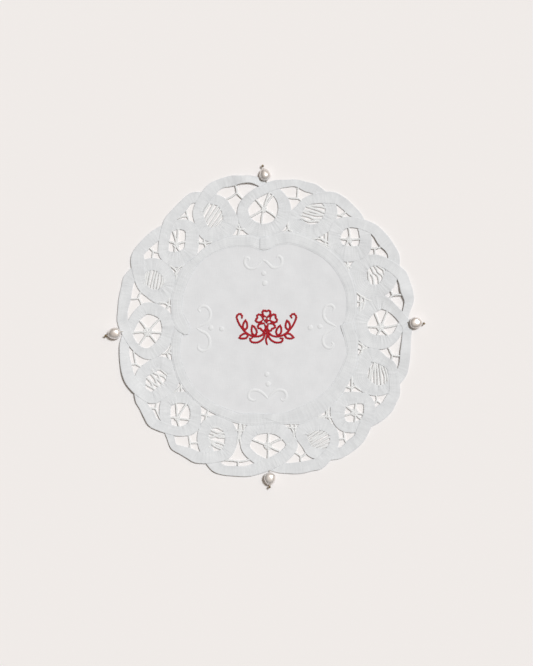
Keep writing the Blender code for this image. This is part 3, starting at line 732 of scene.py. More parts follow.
def twistedThreads(name, runs, values, material, slotName):
    # cords of two plies twisted together, drawn along curves; a point holds x, y, z and radius
    clearSelection()
    bpy.ops.curve.primitive_bezier_circle_add(radius=1)
    profile = bpy.context.object
    bpy.ops.object.mode_set(mode="EDIT")
    bpy.ops.curve.spline_type_set(type="POLY")
    bpy.ops.object.mode_set(mode="OBJECT")
    spline = profile.data.splines[0]
    spline.points.add(cord["sides"] - len(spline.points))
    for index, point in enumerate(spline.points):
        turn = fullTurn * index / cord["sides"]
        reach = (1 + cord["plies"] * math.cos(2 * turn)) * mm
        point.co = (reach * math.cos(turn), reach * math.sin(turn), 0, 1)
    curve = bpy.data.curves.new(name, "CURVE")
    curve.dimensions, curve.bevel_mode, curve.bevel_object = "3D", "OBJECT", profile
    curve.use_fill_caps, curve.twist_mode = True, "Z_UP"
    for run in runs:
        run = finerRun(run, values["twist"] / cord["perTurn"])
        spline = curve.splines.new("POLY")
        spline.points.add(len(run) - 1)
        travelled, last = 0.0, run[0]
        for place, point in zip(run, spline.points):
            travelled += math.dist(last[:3], place[:3])
            last = place
            point.co = (*[value * mm for value in place[:3]], 1)
            point.radius, point.tilt = place[3], fullTurn * travelled / values["twist"]
    piece = addObject(name, curve)
    pick(piece)
    bpy.ops.object.convert(target="MESH")
    bpy.data.objects.remove(profile)
    for vertex in piece.data.vertices:
        vertex.co.z *= values["flat"]  # pressed down, wider than it is high
    editWhole(mergeAndFaceOut)
    shadeSmooth(60)
    return finishPiece(piece, material, slotName)


def clothNear(line, place):
    return [point[:3] for point in line[::2] if flatDistance(point, place) < cord["nearby"]]


def openReach(near, start, way, longest):
    # how far the open gap or hole goes from a start along a way, up to the edge of the cloth
    far = 0.0
    while far < longest:
        place = start + way * far
        if place.length < bandRadius("outer", bearingOf(*place)) or any(
                (place.x - x) ** 2 + (place.y - y) ** 2 < half * half for x, y, half in near):
            break
        far += cord["probe"]
    return far


def threadPoint(place, height, size):
    # a thread follows the cloth's slack, and stays clear of the table
    return (*place, max(height + slackOf(place), size * 1.2 + 0.02), size)


def strand(start, end, radius, values, bow):
    # one thread that bows a little to its side and is drawn thinner where it enters the cloth
    run = end - start
    side = Vector((-run.y, run.x)).normalized()
    count = max(6, round(run.length / cord["step"]))
    points = []
    for index in range(count + 1):
        part = index / count
        entering = math.exp(-(1 - part) * run.length / cord["strandFade"])
        place = start + run * part + side * bow * math.sin(math.pi * part)
        size = radius * (1 - values["thin"] * entering)
        points.append(threadPoint(place, values["height"], size))
    return points


def photoPlaces(middle, steps):
    # places that are so many pixels to the right and down from one place in the photo
    return [photoPlace(middle[0] + right, middle[1] + down) for right, down in steps]


def threadThrough(places, near, values, height):
    # a thread through some places, both its ends drawn on into the cloth
    for last, before in ((0, 1), (-1, -2)):
        way = (places[last] - places[before]).normalized()
        places[last] = places[last] + way * (openReach(near, places[last], way, 8) + values["tuck"])
    run, length = smoothLine(places, cord["step"])
    points = []
    for index, place in enumerate(run):
        toEnd = min(index, len(run) - 1 - index) * cord["step"]
        entering = math.exp(-toEnd / cord["throughFade"])
        size = values["radius"] * (1 - cord["throughThin"] * entering)
        points.append(threadPoint(place, height, size))
    return points


bars = {
    "twist": 1.5,
    "outerRadius": 0.46,
    "bow": 0.3,
    "thin": 0.25,
    "start": 0.3,
    "longest": 6.5,
    "shortest": 0.4,
    "height": 0.66,
    "flat": 0.65,
    "tuck": 0.5,
    # the place where the bars of each outer gap meet, and the way of each
    "outer": [
        (14.3, 67, (5, 275, 120)), (34.6, 68.4, (55, 280, 125)), (54.6, 68.4, (75, 270, 175)),
        (76.4, 66.8, (85, 335, 230)), (102.5, 66.3, (95, 335, 190)), (123.6, 68.2, (355, 125, 240)),
        (144.4, 69.8, (355, 265, 155)), (164.3, 68.7, (175, 55, 305)),
        (190.9, 69.6, (180, 275, 80)), (212.6, 70, (350, 90, 185)), (233.1, 69.1, (15, 275, 155)),
        (253.8, 67.8, (350, 260, 120)), (282.8, 65.5, (265, 25, 155)),
        (304.1, 67.9, (315, 100, 190)), (325, 68.4, (350, 255, 160)),
        (348.4, 69.1, (350, 240, 135)),
    ],
    "radius": 0.56,
    # for each gap beside the narrow tape its middle in the photo, and its threads from there
    "inner": [
        ((288.3, 228.5), [(-0.5, -5.5), (0, 0), (-4.3, 3.5)], [(-0.5, -5.5), (0, 0), (3.7, 3)]),
        ((321.3, 239), [(-7.3, -0.2), (0, 0), (6.7, 3.3)], [(-0.5, -2.5), (0, 0), (6.7, 3.3)],
         [(-0.5, 4.3), (6.7, 6.3)], [(7.6, -7), (7.3, 1)], [(0.7, 6), (6.5, 8.3)],
         [(3.9, -4), (3.9, 2.5)]),
        ((347.5, 266), [(0, -4.5), (0, 0), (-2.5, 3)], [(-4, -2), (0, 0), (3.5, 1.5)],
         [(0, -4.5), (0, 0), (1.5, 6)]),
        ((364.5, 302), [(-0.2, -5), (0, 0), (-2, 7)],
         [(-7.5, -9.5), (-2.5, -5.5), (2.5, -2.5), (6.5, -1.2)],
         [(-7.5, -0.7), (-3.5, -0.2), (0.5, 2)], [(-4, 1), (-4.5, 9)]),
        ((362.8, 349), [(-0.8, -5.5), (0, 0), (-3.3, 5.5)], [(-4.8, -1), (-0.8, 0.5), (3.2, -1.5)],
         [(-4.3, -6.5), (-0.3, -3.5)]),
        ((351.6, 388), [(0.3, -10.5), (0, 0), (-0.3, 4)],
         [(-6.1, -2), (0, 0), (2.9, -1.7), (8.4, 1.8)]),
        ((328.2, 415.5), [(0.4, -8), (0, 0), (3.3, 8.5)], [(-1.9, -4), (-2.5, 0.3), (-9.2, 0.8)],
         [(-9.7, 2.3), (-3.2, 1.3), (3.8, 2)]),
        ((291.5, 427.5), [(-0.7, -3.9), (0, 0), (2, 4.5), (2.3, 11)], [(3.5, -3.7), (3.8, 2.5)],
         [(-4, 0), (0, 0), (5.5, 0.5)]),
        ((240.6, 430.5), [(0, -6.3), (0, 0), (-0.7, 7.5), (0.6, 14.5)], [(3.1, -5.5), (3.4, 0)],
         [(-4.6, -0.2), (-0.2, 0), (3.9, 0.3)], [(-1.7, 0.5), (-2.3, 6.5), (-4, 13)]),
        ((206.5, 415.4), [(1.7, -5.2), (0, 0), (-1.2, 4.6)], [(-5.5, -1), (0, 0), (3.5, 1.1)]),
        ((179.3, 387.8), [(2, -2.8), (0, 0), (-2.8, 2.7)], [(2, -2.8), (2.2, 4.2)]),
        ((167.5, 352.3), [(3, -4.8), (0, 0), (-6, 1)], [(4.2, 1.5), (0, 0), (1.3, 6.2)]),
        ((168.7, 305.5), [(0.1, -6.5), (0, 0), (-2.7, 3.5)],
         [(-8.4, -2.8), (-3.7, -2.5), (0, 0), (2.8, 0.5)]),
        ((174.5, 268.8), [(-4.7, -3.1), (0, 0), (2, 3), (1.5, 10.2)],
         [(8.2, -3.1), (4, -0.6), (2, 3), (0.8, 5.2)]),
        ((204.6, 243.2), [(-7.3, -1), (0, 0), (6.4, -1)], [(-0.4, -2.7), (0, 0), (1.2, 3.8)]),
        ((239.5, 229), [(-1.2, -4.5), (0, 0), (-2.2, 7.5)], [(-3, -1.5), (0, 0), (5, 0)]),
    ],
}


def makeBars(line, material):
    draw = random.Random(11)
    runs = []
    for bearing, radius, ways in bars["outer"]:
        meet = towards(bearing, radius)
        near = clothNear(line, meet)
        for way in ways:
            far = openReach(near, meet, towards(way), bars["longest"])
            if far >= bars["shortest"]:
                runs.append(strand(
                    meet + towards(way + 180, bars["start"]),
                    meet + towards(way, far + bars["tuck"]),
                    bars["outerRadius"], bars, draw.uniform(-bars["bow"], bars["bow"])))
    for middle, *threads in bars["inner"]:
        near = clothNear(line, photoPlace(*middle))
        runs += [threadThrough(photoPlaces(middle, thread), near, bars, bars["height"])
                 for thread in threads]
    return twistedThreads("joiningBars", runs, bars, material, "lace_thread")


spiders = {
    "twist": 1.3,
    "flat": 0.8,
    "legRadius": 0.51,
    "longest": 12,
    "thin": 0.2,
    "hubThread": 0.26,
    "hubPitch": 0.42,
    "hubStart": 0.3,
    "hubSteps": 18,
    "hubLift": 0.2,
    "hubWeave": 0.13,
    "height": 0.50,
    "bow": 0.45,
    "tuck": 0.5,
    # hub's bearing, radius and own size, and the way of each leg
    "webs": [
        (359.8, 59.5, 1.42, (19, 33, 125, 189, 240, 320)),
        (44.5, 61.6, 1.53, (85, 156, 213, 277, 355)),
        (90.4, 58.9, 2.01, (22, 80, 135, 205, 272, 338)),
        (133.5, 63.3, 1.89, (8, 100, 135, 183, 255, 306)),
        (178.4, 60.5, 2.01, (4, 64, 114, 180, 292)), (223.5, 64.2, 1.53, (32, 97, 165, 274, 356)),
        (267.3, 59.2, 2.24, (43, 94, 141, 214, 266, 325)),
        (312.9, 60.9, 1.53, (6, 72, 150, 191, 292, 345)),
    ],
}


def makeSpiders(line, material):
    draw = random.Random(23)
    legs, rounds = [], []
    for bearing, radius, size, ways in spiders["webs"]:
        hub = towards(bearing, radius)
        near = clothNear(line, hub)
        for way in ways:
            far = openReach(near, hub, towards(way), spiders["longest"])
            legs.append(strand(hub, hub + towards(way, far + spiders["tuck"]), spiders["legRadius"],
                               spiders, spiders["bow"] * draw.uniform(-1, 1)))
        coil = []
        wide = size - spiders["hubStart"]
        steps = round(wide / spiders["hubPitch"] * spiders["hubSteps"])
        for step in range(steps):  # the needle's rounds under and over the legs
            turn = step * 360 / spiders["hubSteps"]
            place = hub + towards(bearing + turn, spiders["hubStart"] + wide * step / steps)
            over = spiders["hubWeave"] * math.sin(math.radians(turn) * len(ways) / 2)
            height = spiders["height"] + slackOf(place) + spiders["hubLift"] + over
            coil.append((*place, height, spiders["hubThread"]))
        rounds.append(coil)
    return twistedThreads("spiderWebs", legs + rounds, spiders, material, "lace_thread")


ladders = {
    "twist": 1.3,
    "flat": 0.5,
    "radius": 0.60,
    "height": 0.64,
    "uneven": 0.05,
    "tuck": 0.5,
    # for each hole its middle in the photo, and from there the threads that go across it
    "fills": [
        ((314, 214), [(-10, 1.4), (-5.3, 2.5), (-0.2, 4.8), (6.3, 5)],
         [(-7.6, -1.4), (-1.9, 0.3), (2.9, 1.3), (8.2, 1.1)],
         [(-6, -7.2), (-0.9, -5.7), (5.1, -3.7), (11, -1)],
         [(-4, -8.4), (0, -8.2), (5.7, -7.6), (10.8, -6.4)],
         [(-9, 5.5), (-5, 7.4), (1.7, 7), (5.4, 7.3)], [(-10, -3.5), (-4, -3), (1, -1.4)]),
        ((377, 276), [(-6.4, -9.6), (-4.4, -6.2), (-3.1, -3.4), (0.1, -1), (1.8, 2.6), (2, 6.8)],
         [(-9.8, -7.6), (-8.3, -4.2), (-6.6, -2.3), (-4.8, -0.2), (-3.7, 2.4), (-3.2, 7.2)],
         [(-2.2, -9.6), (-0.2, -7), (1, -4.2), (2.6, -2.8), (5, -1.1), (6, 1.8)],
         [(-9.5, -6.5), (-8.4, -2.6), (-8.4, 1.6), (-7.1, 7.4)],
         [(2.3, -9.2), (4.5, -7.8), (6.6, -6.2), (7, -3.6)]),
        ((379, 373), [(-8, 10), (-7.5, 2), (-4.5, -10)], [(-8.8, -8), (-8.6, -1), (-10.4, 7)],
         [(-3.8, -7), (-4.1, 0), (-4, 9)], [(-2, -8), (-1, 2), (-1, 10)],
         [(0.8, -7.5), (2.1, 4.7), (2.5, 10)], [(3, -6), (4.8, -1), (6.1, 4), (6, 9)],
         [(7, -2), (8.4, 3), (9, 8)], [(9.5, 0), (10.5, 4)]),
        ((318, 440), [(-11.5, -1.5), (-6.1, -4.9), (-2.7, -7.2), (0, -9.5)],
         [(-9, 1.5), (-2.7, -3.8), (0.7, -6.4), (4.5, -9.2)], [(-10, -5.5), (-6, -8), (-3, -9.5)],
         [(-6.5, 2.6), (0.7, -1.6), (7.5, -5.4)], [(-6, -0.5), (1, -3.8), (7, -7.6)],
         [(-5.5, 5), (3, 1.2), (10, -2.3)], [(-4, 7.6), (0.7, 5.5), (4.7, 4), (10.5, 1.6)],
         [(-1.6, 9), (4.7, 7.3), (10, 5.5)]),
        ((217, 440), [(-5, -12.8), (0.9, -12.6), (5.6, -9.8)],
         [(-7.6, -11.1), (-2.6, -8.6), (0.7, -7.4), (7.4, -6.9)],
         [(-8.2, -7), (-3.5, -6), (-1.3, -4.3), (1.5, -3), (8, -2.8)],
         [(-8.2, -2.7), (-4.5, -3.2), (-1.4, -4.3), (2.6, -5.1), (8, -3.4)],
         [(-8.2, -1.6), (-4.3, 0.8), (3.2, 2.9), (7.6, 5)],
         [(-8.6, 1), (-6.4, 2), (-4, 4.8), (-1.4, 6.6), (5, 9.2)],
         [(-7.3, -1), (-4.6, 2), (-2.2, 4.2), (5.5, 7.4)], [(-9, 5.6), (-4.6, 9.5)]),
        ((156, 380), [(0.4, -10.9), (4.4, -10.7), (7.9, -7.9), (11.4, -4.9)],
         [(-3.6, -11), (-2.1, -7.9), (2.4, -5.6), (8, -3.6), (10.4, -0.4)],
         [(-3.9, -10.8), (-2.4, -7.7), (2.2, -5), (3.6, -2), (4.6, 1.3), (7.9, 4.6)],
         [(-4.4, -6), (-0.7, -1.9), (1.4, -1.1), (4.2, 1.6), (7.6, 4.9)],
         [(-4.7, -5.8), (-0.9, -1.4), (0.5, 2.2), (1.6, 5), (4.6, 7.5)],
         [(-8.4, -2), (-4.1, 2.1), (-1.8, 3.7), (1.3, 5.4), (4.3, 7.8)],
         [(-8.7, -1.8), (-4.5, 2.6), (-3.6, 5.3), (-3.3, 7.4), (0.1, 10)],
         [(-11.1, 2.6), (-7.6, 5.6), (-3.7, 7.7), (-0.2, 10.3)]),
        ((154, 280), [(-8, -7), (-9.2, -2), (-9.8, 4)], [(-5.5, -8.5), (-7, -2), (-8.2, 5)],
         [(-2.5, -9.5), (-4, -3), (-5.7, 7)], [(10.5, -3), (10.2, 1), (9, 6)],
         [(1.5, -9.5), (-1, 0), (-3, 9)], [(4, -8.5), (1.8, -1), (0.2, 9.5)],
         [(6, -7), (4.7, 1), (3.3, 8.5)], [(8.5, -4), (8, 2), (6.5, 7.5)]),
        ((213.5, 216), [(-5, -11), (-8.3, -6), (-10.5, -1)], [(-1, -9.5), (-4.9, -2.6), (-8, 3)],
         [(3, -7.5), (-1.5, -1), (-4.3, 3), (-7, 7.5)],
         [(5.3, -4.5), (1.3, 1.5), (-1.5, 5.8), (-4, 10)], [(7.5, -0.5), (4, 4.7), (-0.5, 10.5)],
         [(9, 4.5), (5.5, 8), (2.5, 11.5)], [(-7.5, -12), (-10.5, -8), (-12.5, -3)],
         [(10, 8), (6.5, 11.5)]),
    ],
}


def makeLadders(line, material):
    draw = random.Random(37)
    runs = []
    for middle, *threads in ladders["fills"]:
        near = clothNear(line, photoPlace(*middle))
        for thread in threads:
            height = ladders["height"] + ladders["uneven"] * draw.uniform(-1, 1)
            runs.append(threadThrough(photoPlaces(middle, thread), near, ladders, height))
    return twistedThreads("ladderThreads", runs, ladders, material, "lace_thread")


# ---- white embroidery on the linen

embroidery = {
    "width": 1.6,
    "height": 0.27,
    "thread": 0.42,
    "slant": 1.2,
    "groove": 0.14,
    "sink": 0.06,
    "dotFuller": 1.35,
    "across": [-1, -0.8, -0.5, -0.17, 0.17, 0.5, 0.8, 1],
    # where each pair of scrolls meets in the photo, and from there the way to both its curls
    "scrolls": [
        ((262.5, 260), [(-3, 4), (-6, 7), (-10.5, 8.6), (-14.5, 7.8), (-17.3, 4.5), (-17.9, 0.8),
         (-16.1, -2.4), (-13.7, -1.6), (-13.9, 0.6)], [(3.5, 1.5), (7, 4.8), (10, 7.4), (14, 7.6),
         (18, 5.4), (19.5, 1.5), (18.5, -2.4), (15.7, -4), (14.1, -2.4)]),
        ((268, 398.8), [(-3.4, -3.8), (-7.5, -7.2), (-12.5, -8.8), (-17, -7.9), (-19.6, -4.4),
         (-18.8, -0.4), (-15.4, 1.6), (-12.2, 1.4)], [(3.2, -4.4), (7.2, -7.8), (12, -9),
         (16.4, -7.6), (18.4, -3.8), (17.4, 0.2), (14.6, 1.6), (12.6, 0)]),
        ((336.4, 326.7), [(-4.4, -2.3), (-9.4, -5.1), (-12.6, -10.1), (-12.5, -16.3),
         (-9.4, -21.1), (-4.8, -21.5), (-2.2, -18.3), (-3.6, -15.7)], [(-4.8, 3.1), (-10, 6.3),
         (-13, 10.7), (-13.2, 16.3), (-9.8, 20.7), (-5.4, 20.9), (-3.2, 17.7), (-5, 15.1)]),
        ((196.5, 328.2), [(4.5, -2.6), (9.9, -5.4), (13.5, -10.2), (13.7, -16.4), (10.3, -21.2),
         (5.1, -22), (2.1, -19), (3.5, -16.2)], [(4.5, 2.8), (9.7, 5.4), (12.9, 10.2),
         (13.1, 16.4), (9.9, 21.6), (5.1, 22.6), (1.7, 19.6), (2.1, 16.4)]),
    ],
    # place and radius
    "dots": [
        (263.7, 273.4, 1.3), (264.9, 283.2, 1.5), (267, 374.4, 1.4), (268.2, 384, 1.4),
        (211, 327.9, 1.35), (221.6, 328.8, 1.35), (310.4, 327.6, 1.45), (320, 326.6, 1.35),
    ],
}


def satinBand(knots):
    # a padded line of satin stitches, each thread lying across it
    line, length = smoothLine(knots, embroidery["thread"] / 4)
    stitches = embroidery["thread"] / (length / (len(line) - 1))

    def heightOf(row, side, place):
        wave = abs(math.sin(math.pi * (row + side * embroidery["slant"]) / stitches))
        padding = line[row][3] * math.sqrt(max(0.0, 1 - side * side))
        ridge = 1 - embroidery["groove"] * (1 - wave)
        return linenTop(*place) - embroidery["sink"] + padding * ridge

    return layBand("satin", line, embroidery["across"], heightOf)


def makeEmbroidery(material):
    bands = []
    half, height = embroidery["width"] / 2, embroidery["height"]
    for middle, *scrolls in embroidery["scrolls"]:
        for scroll in scrolls:
            knots = []
            for index, place in enumerate(photoPlaces(middle, [(0, 0), *scroll])):
                taper = min(1.0, 0.45 + 0.4 * index, 0.5 + 0.35 * (len(scroll) - index))
                knots.append([*place, half * taper, height * (0.6 + 0.4 * taper)])
            bands.append(satinBand(knots))
    for x, y, radius in embroidery["dots"]:
        place = photoPlace(x, y)
        knots = []
        for step in range(-4, 5):
            part = step / 4
            swell = math.sqrt(max(0.02, 1 - part * part))
            knots.append([place.x + part * radius * 0.8, place.y + part * radius * 0.6,
                          radius * swell, height * embroidery["dotFuller"] * swell])
        bands.append(satinBand(knots))
    return finishPiece(joinPieces(bands, "whiteEmbroidery"), material, "lace_thread")


# ---- red sprig in stem stitch

sprig = {
    "centre": (266.5, 327.0),
    "stitchLength": 2.3,
    "stitchEvery": 0.95,
    "stitchRadius": 0.51,
    "stitchFlat": 0.85,
    "slant": 14,
    "unevenSlant": 4,
    "tip": 3,
    "lift": 0.16,
    "unevenLift": 0.04,
    # lines in millimetres from the sprig's middle, for its right half; the left mirrors them
    "stems": [
        [(0.9, -2.4), (2.6, -4.2), (6, -4.8), (9.6, -3.4), (12.4, -0.6), (14.4, 2.8), (15, 5.4),
         (13.6, 6.6), (12.4, 5.6), (12.8, 4.4)],
        [(0.6, -3.4), (2, -6.2), (4.8, -7.8), (7.6, -7.4), (8.2, -6), (7, -5.6)],
    ],
    # foot, tip and half the width
    "leaves": [
        ((5.6, -4.4), (7, 0.6), 1.25), ((9.2, -3.9), (13.6, -5.4), 1.2),
        ((11, -1.6), (10.6, 3.2), 1.1),
    ],
    "petals": 5,
    "petalShape": [
        (1.9, 0.35), (2.7, 1.35), (4, 1.95), (5.2, 1.4), (4.95, 0), (5.2, -1.4), (4, -1.95),
        (2.7, -1.35), (1.9, -0.35),
    ],
    "flower": (0.0, 3.1),
    "eyeRadius": 0.55,
    "stem": [(0.0, -1.6), (0.3, -4.2), (-0.2, -6.4), (0.1, -8.4)],
}


def leafLine(foot, tip, width):
    foot = Vector(foot)
    run = Vector(tip) - foot
    side = Vector((-run.y, run.x)).normalized() * width
    shape = [(0, 0), (0.3, 0.9), (0.65, 0.85), (1, 0), (0.6, -0.9), (0.25, -0.85), (0.03, 0)]
    return [foot + run * along + side * over for along, over in shape]


def sprigLines():
    lines = [sprig["stem"]]
    for half in sprig["stems"] + [leafLine(*leaf) for leaf in sprig["leaves"]]:
        lines += [[(x, y) for x, y in half], [(-x, y) for x, y in half]]
    flower = Vector(sprig["flower"])
    for number in range(sprig["petals"]):
        way = towards(360 / sprig["petals"] * number)
        side = Vector((way.y, -way.x))
        lines.append([flower + way * out + side * over for out, over in sprig["petalShape"]])
    lines.append([flower + towards(45 * step, sprig["eyeRadius"]) for step in range(9)])
    return lines


def makeStitch():
    clearSelection()
    bpy.ops.mesh.primitive_uv_sphere_add(segments=8, ring_count=6, radius=1)
    stitch = bpy.context.object
    editWhole(lambda: bpy.ops.transform.rotate(
        value=math.pi / 2, orient_axis="Y", center_override=(0, 0, 0)))
    for vertex in stitch.data.vertices:
        swell = 1 - 0.12 * math.cos(vertex.co.x * 3)  # fuller in the middle, with blunt ends
        vertex.co.x *= sprig["stitchLength"] / 2 * mm
        vertex.co.y *= sprig["stitchRadius"] * swell * mm
        vertex.co.z *= sprig["stitchRadius"] * sprig["stitchFlat"] * swell * mm
    bpy.ops.object.shade_smooth()
    return stitch


def makeRedSprig(material):
    centre = photoPlace(*sprig["centre"])
    stitch = makeStitch()
    draw = random.Random(5)
    copies = []
    for knots in sprigLines():
        line, length = smoothLine(knots, 0.1)
        sides = sideways(line, False)
        every = max(1, round(sprig["stitchEvery"] / (length / (len(line) - 1))))
        for row in range(every // 2, len(line), every):
            copy = addObject("stitch", stitch.data.copy())
            x, y = centre.x + line[row][0], centre.y + line[row][1]
            lift = linenTop(x, y) + sprig["lift"] + sprig["unevenLift"] * draw.uniform(-1, 1)
            copy.location = (x * mm, y * mm, lift * mm)
            run = math.atan2(-sides[row].x, sides[row].y)
            slant = sprig["slant"] + sprig["unevenSlant"] * draw.uniform(-1, 1)
            copy.rotation_euler = (0, math.radians(sprig["tip"]), run + math.radians(slant))
            copies.append(copy)
    bpy.data.objects.remove(stitch)
    return finishPiece(joinPieces(copies, "redSprig"), material, "red_thread")


# ---- pearls on their threads

pearls = {
    # bearing, radius, length, width, the way the narrow end points, stopper's distance and
    # how flat it is on top
    "north": (0.13, 77.0, 6.2, 5.6, 346, 4.4, 0.0),
    "east": (88.6, 76.7, 6.4, 5.8, 95, 4.05, 0.36),
    "south": (178.0, 77.0, 6.4, 5.8, 181, 4.2, 0.28),
    "west": (267.4, 76.1, 6.7, 5.9, 255, 4.4, 0.25),
}
pearlShape = {
    "segments": 48,
    "rings": 36,
    "boreEdge": math.cos(math.radians(9)),
    "taper": 0.13,
    "low": 0.88,
    "resting": 0.975,
    "lumps": 0.035,
    "smoothUnder": 40,
    "beadRing": 0.33,
    "beadThick": 0.28,
    "beadLonger": 0.9,
    "beadDents": 0.10,
}
pearlThread = {"radius": 0.18, "twist": 0.8, "flat": 1.0, "knotHeight": 0.62, "parts": 6}


def makePearlBody(name, seed, length, width, press):
    # its bore lies along y and its middle at the origin
    low, flat = pearlShape["low"], width / 4
    clearSelection()
    bpy.ops.mesh.primitive_uv_sphere_add(
        segments=pearlShape["segments"], ring_count=pearlShape["rings"], radius=1)
    body = nameNew(name)
    bpy.ops.object.mode_set(mode="EDIT")
    bpy.ops.mesh.select_all(action="DESELECT")
    bpy.ops.object.mode_set(mode="OBJECT")
    for vertex in body.data.vertices:  # the two ends of the bore
        vertex.select = abs(vertex.co.z) > pearlShape["boreEdge"]
    bpy.ops.object.mode_set(mode="EDIT")
    bpy.ops.mesh.delete(type="VERT")
    bpy.ops.mesh.select_all(action="SELECT")
    bpy.ops.mesh.region_to_loop()
    bpy.ops.mesh.bridge_edge_loops()
    bpy.ops.object.mode_set(mode="OBJECT")
    editWhole(lambda: bpy.ops.transform.rotate(
        value=-math.pi / 2, orient_axis="X", center_override=(0, 0, 0)))
    editWhole(mergeAndFaceOut)
    for vertex in body.data.vertices:
        lump = noise.noise(vertex.co * 1.3 + Vector((seed * 3.1, 0, 0)))
        slim = (1 - pearlShape["taper"] * vertex.co.y) * (1 + pearlShape["lumps"] * lump)
        vertex.co.x *= width / 2 * slim
        vertex.co.y *= length / 2
        vertex.co.z *= width / 2 * slim
        above = max(0.0, vertex.co.z - flat)
        vertex.co.z = max((vertex.co.z - press * above * above / flat) * low,
                          -restingHeight(width))
    shadeSmooth(pearlShape["smoothUnder"])
    return body


def restingHeight(width):
    # of the middle of a pearl, which is a little flat where it lies
    return width / 2 * pearlShape["low"] * pearlShape["resting"]


def makePearl(side, seed, pearlMaterial, stopperMaterial, threadMaterial):
    bearing, radius, length, width, points, away, press = pearls[side]
    centre, way = towards(bearing, radius), towards(points)
    axis, turn = restingHeight(width), -math.radians(points)
    body = makePearlBody("pearl" + side.capitalize(), seed, length, width, press)
    for vertex in body.data.vertices:
        x, y = vertex.co.x, vertex.co.y
        vertex.co.x = centre.x + x * math.cos(turn) - y * math.sin(turn)
        vertex.co.y = centre.y + x * math.sin(turn) + y * math.cos(turn)
        vertex.co.z += axis
        vertex.co *= mm
    finishPiece(body, pearlMaterial, "pearl", "pearl_" + side)

    stopperPlace = centre + way * away
    clearSelection()
    bpy.ops.mesh.primitive_torus_add(
        location=Vector((*stopperPlace, axis)) * mm, rotation=(math.pi / 2, 0, turn),
        major_segments=20, minor_segments=10, major_radius=pearlShape["beadRing"] * mm,
        minor_radius=pearlShape["beadThick"] * mm)
    bead = nameNew("stopper" + side.capitalize())
    applyPlace()
    for vertex in bead.data.vertices:  # drawn out along the thread, and a little dented
        longer = (vertex.co.xy / mm - stopperPlace).dot(way) * pearlShape["beadLonger"] * mm
        dent = 1 + pearlShape["beadDents"] * noise.noise(vertex.co * 1400)
        vertex.co.x += way.x * longer
        vertex.co.y += way.y * longer
        vertex.co.z = (axis + (vertex.co.z / mm - axis) * dent) * mm
    bpy.ops.object.shade_smooth()
    finishPiece(bead, stopperMaterial, "stopper", "stopper_" + side)

    mouth = centre - way * (length / 2 + 0.3)
    knot = mouth + towards(bearing + 180, 1.0)
    end = stopperPlace + way * 0.9
    heights = (pearlThread["knotHeight"], axis * 0.7, axis, axis, axis)
    route = [(*place, height, pearlThread["radius"])
             for place, height in zip((knot, mouth, centre, stopperPlace, end), heights)]
    parts = pearlThread["parts"]
    run = [mixed(first, second, step / parts)
           for first, second in zip(route, route[1:]) for step in range(parts)] + [route[-1]]
    thread = twistedThreads("pearlThread" + side.capitalize(), [run], pearlThread,
                            threadMaterial, "pearl_thread")
    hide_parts("pearl_thread_" + side)


# ---- everything made

linenMaterial = makeLinenFinish()
laceMaterial, satinMaterial, redMaterial, beigeMaterial = (
    makeThreadFinish(name) for name in threadFinishes)
pearlMaterial, stopperMaterial = makePearlFinish(), makeStopperFinish()
print("finishes made")

linenPiece = makeLinenCentre(linenMaterial)
innerPiece = makeInnerTape()
print("linen and narrow tape made")
tapePiece, tapeLine = makeLaceTape()
print("lace tape made")
barPiece = makeBars(tapeLine, laceMaterial)
spiderPiece = makeSpiders(tapeLine, laceMaterial)
ladderPiece = makeLadders(tapeLine, laceMaterial)
print("bars, spiders and ladders made")
whitePiece = makeEmbroidery(satinMaterial)
redPiece = makeRedSprig(redMaterial)
print("embroidery made")
for number, side in enumerate(pearls):
    makePearl(side, 3 + number, pearlMaterial, stopperMaterial, beigeMaterial)
print("pearls made")


# ---- floor, light and camera

studio = {
    "floorColour": (0.866, 0.846, 0.849),
    "floorDarker": 0.992,
    "floorHalf": 3.0,
    "floorUnder": 0.02,
    "sunFrom": 40.0,  # degrees from +X towards +Y
    "sunHeight": 64.0,
    "sunStrength": 2.565,
    "sunWidth": 11.0,
    "sunColour": (0.945, 0.975, 1.0),
    "skyColour": (1.0, 0.86, 0.70),
    "skyDarker": 0.1,
    "skyStrength": 0.558,
    "skyMiddle": (0.324, 0.272, 0.906),  # the way to the brightest part of the room's light
    "distance": 1.2,
    "lookAt": (1.07, -3.24),
    "fieldHigh": 337.7,
    "sensor": 36.0,
}


def darker(colour, share):
    return tuple(value * share for value in colour)


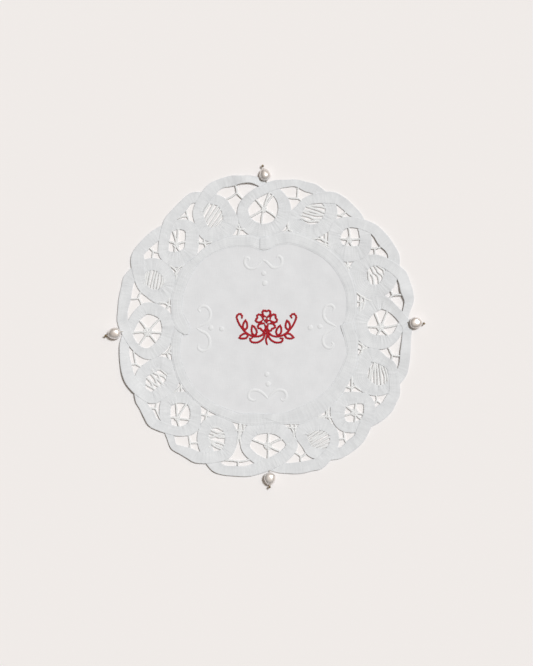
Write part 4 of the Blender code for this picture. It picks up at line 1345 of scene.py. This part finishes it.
def makeFloor():
    clearSelection()
    bpy.ops.mesh.primitive_plane_add(
        size=2 * studio["floorHalf"], location=(0, 0, -studio["floorUnder"] * mm))
    floor = nameNew("paleFloor")
    applyPlace()
    material, tree, shader, place = newFinish("palePaper", Roughness=0.95, Specular_IOR_Level=0.1)
    light = studio["floorColour"]
    colourRamp(tree, speckle(tree, place, 0.6, 2.0), shader.inputs["Base Color"],
               (0.3, darker(light, studio["floorDarker"])), (0.7, light))
    floor.data.materials.append(material)


def makeLight():
    sun = bpy.data.lights.new("keySun", "SUN")
    sun.energy, sun.angle = studio["sunStrength"], math.radians(studio["sunWidth"])
    sun.color = studio["sunColour"]
    turn, height = math.radians(studio["sunFrom"]), math.radians(studio["sunHeight"])
    back = Vector((math.cos(turn) * math.cos(height), math.sin(turn) * math.cos(height),
                   math.sin(height)))
    addObject("keySun", sun).rotation_euler = back.to_track_quat("Z", "Y").to_euler()

    world = bpy.data.worlds.new("softRoom")
    bpy.context.scene.world = world
    world.use_nodes = True
    tree = world.node_tree
    background = tree.nodes["Background"]
    background.inputs["Strength"].default_value = studio["skyStrength"]
    nearness = addNode(tree, "ShaderNodeVectorMath", operation="DOT_PRODUCT")
    link(tree, addNode(tree, "ShaderNodeTexCoord").outputs["Generated"], nearness.inputs[0])
    nearness.inputs[1].default_value = studio["skyMiddle"]
    colourRamp(tree, nearness.outputs["Value"], background.inputs["Color"],
               (0.3, darker(studio["skyColour"], studio["skyDarker"])),
               (0.95, studio["skyColour"]))


def makeCamera():
    camera = bpy.data.cameras.new("photoCamera")
    camera.sensor_width = studio["sensor"]
    camera.lens = studio["sensor"] * studio["distance"] / (studio["fieldHigh"] * mm)
    camera.clip_start, camera.clip_end = 0.01, 50.0
    cameraObject = addObject("photoCamera", camera)
    x, y = studio["lookAt"]
    cameraObject.location = (x * mm, y * mm, studio["distance"])
    bpy.context.scene.camera = cameraObject
    bpy.context.scene.view_settings.view_transform = "Standard"


makeFloor()
makeLight()
makeCamera()
print("studio made")
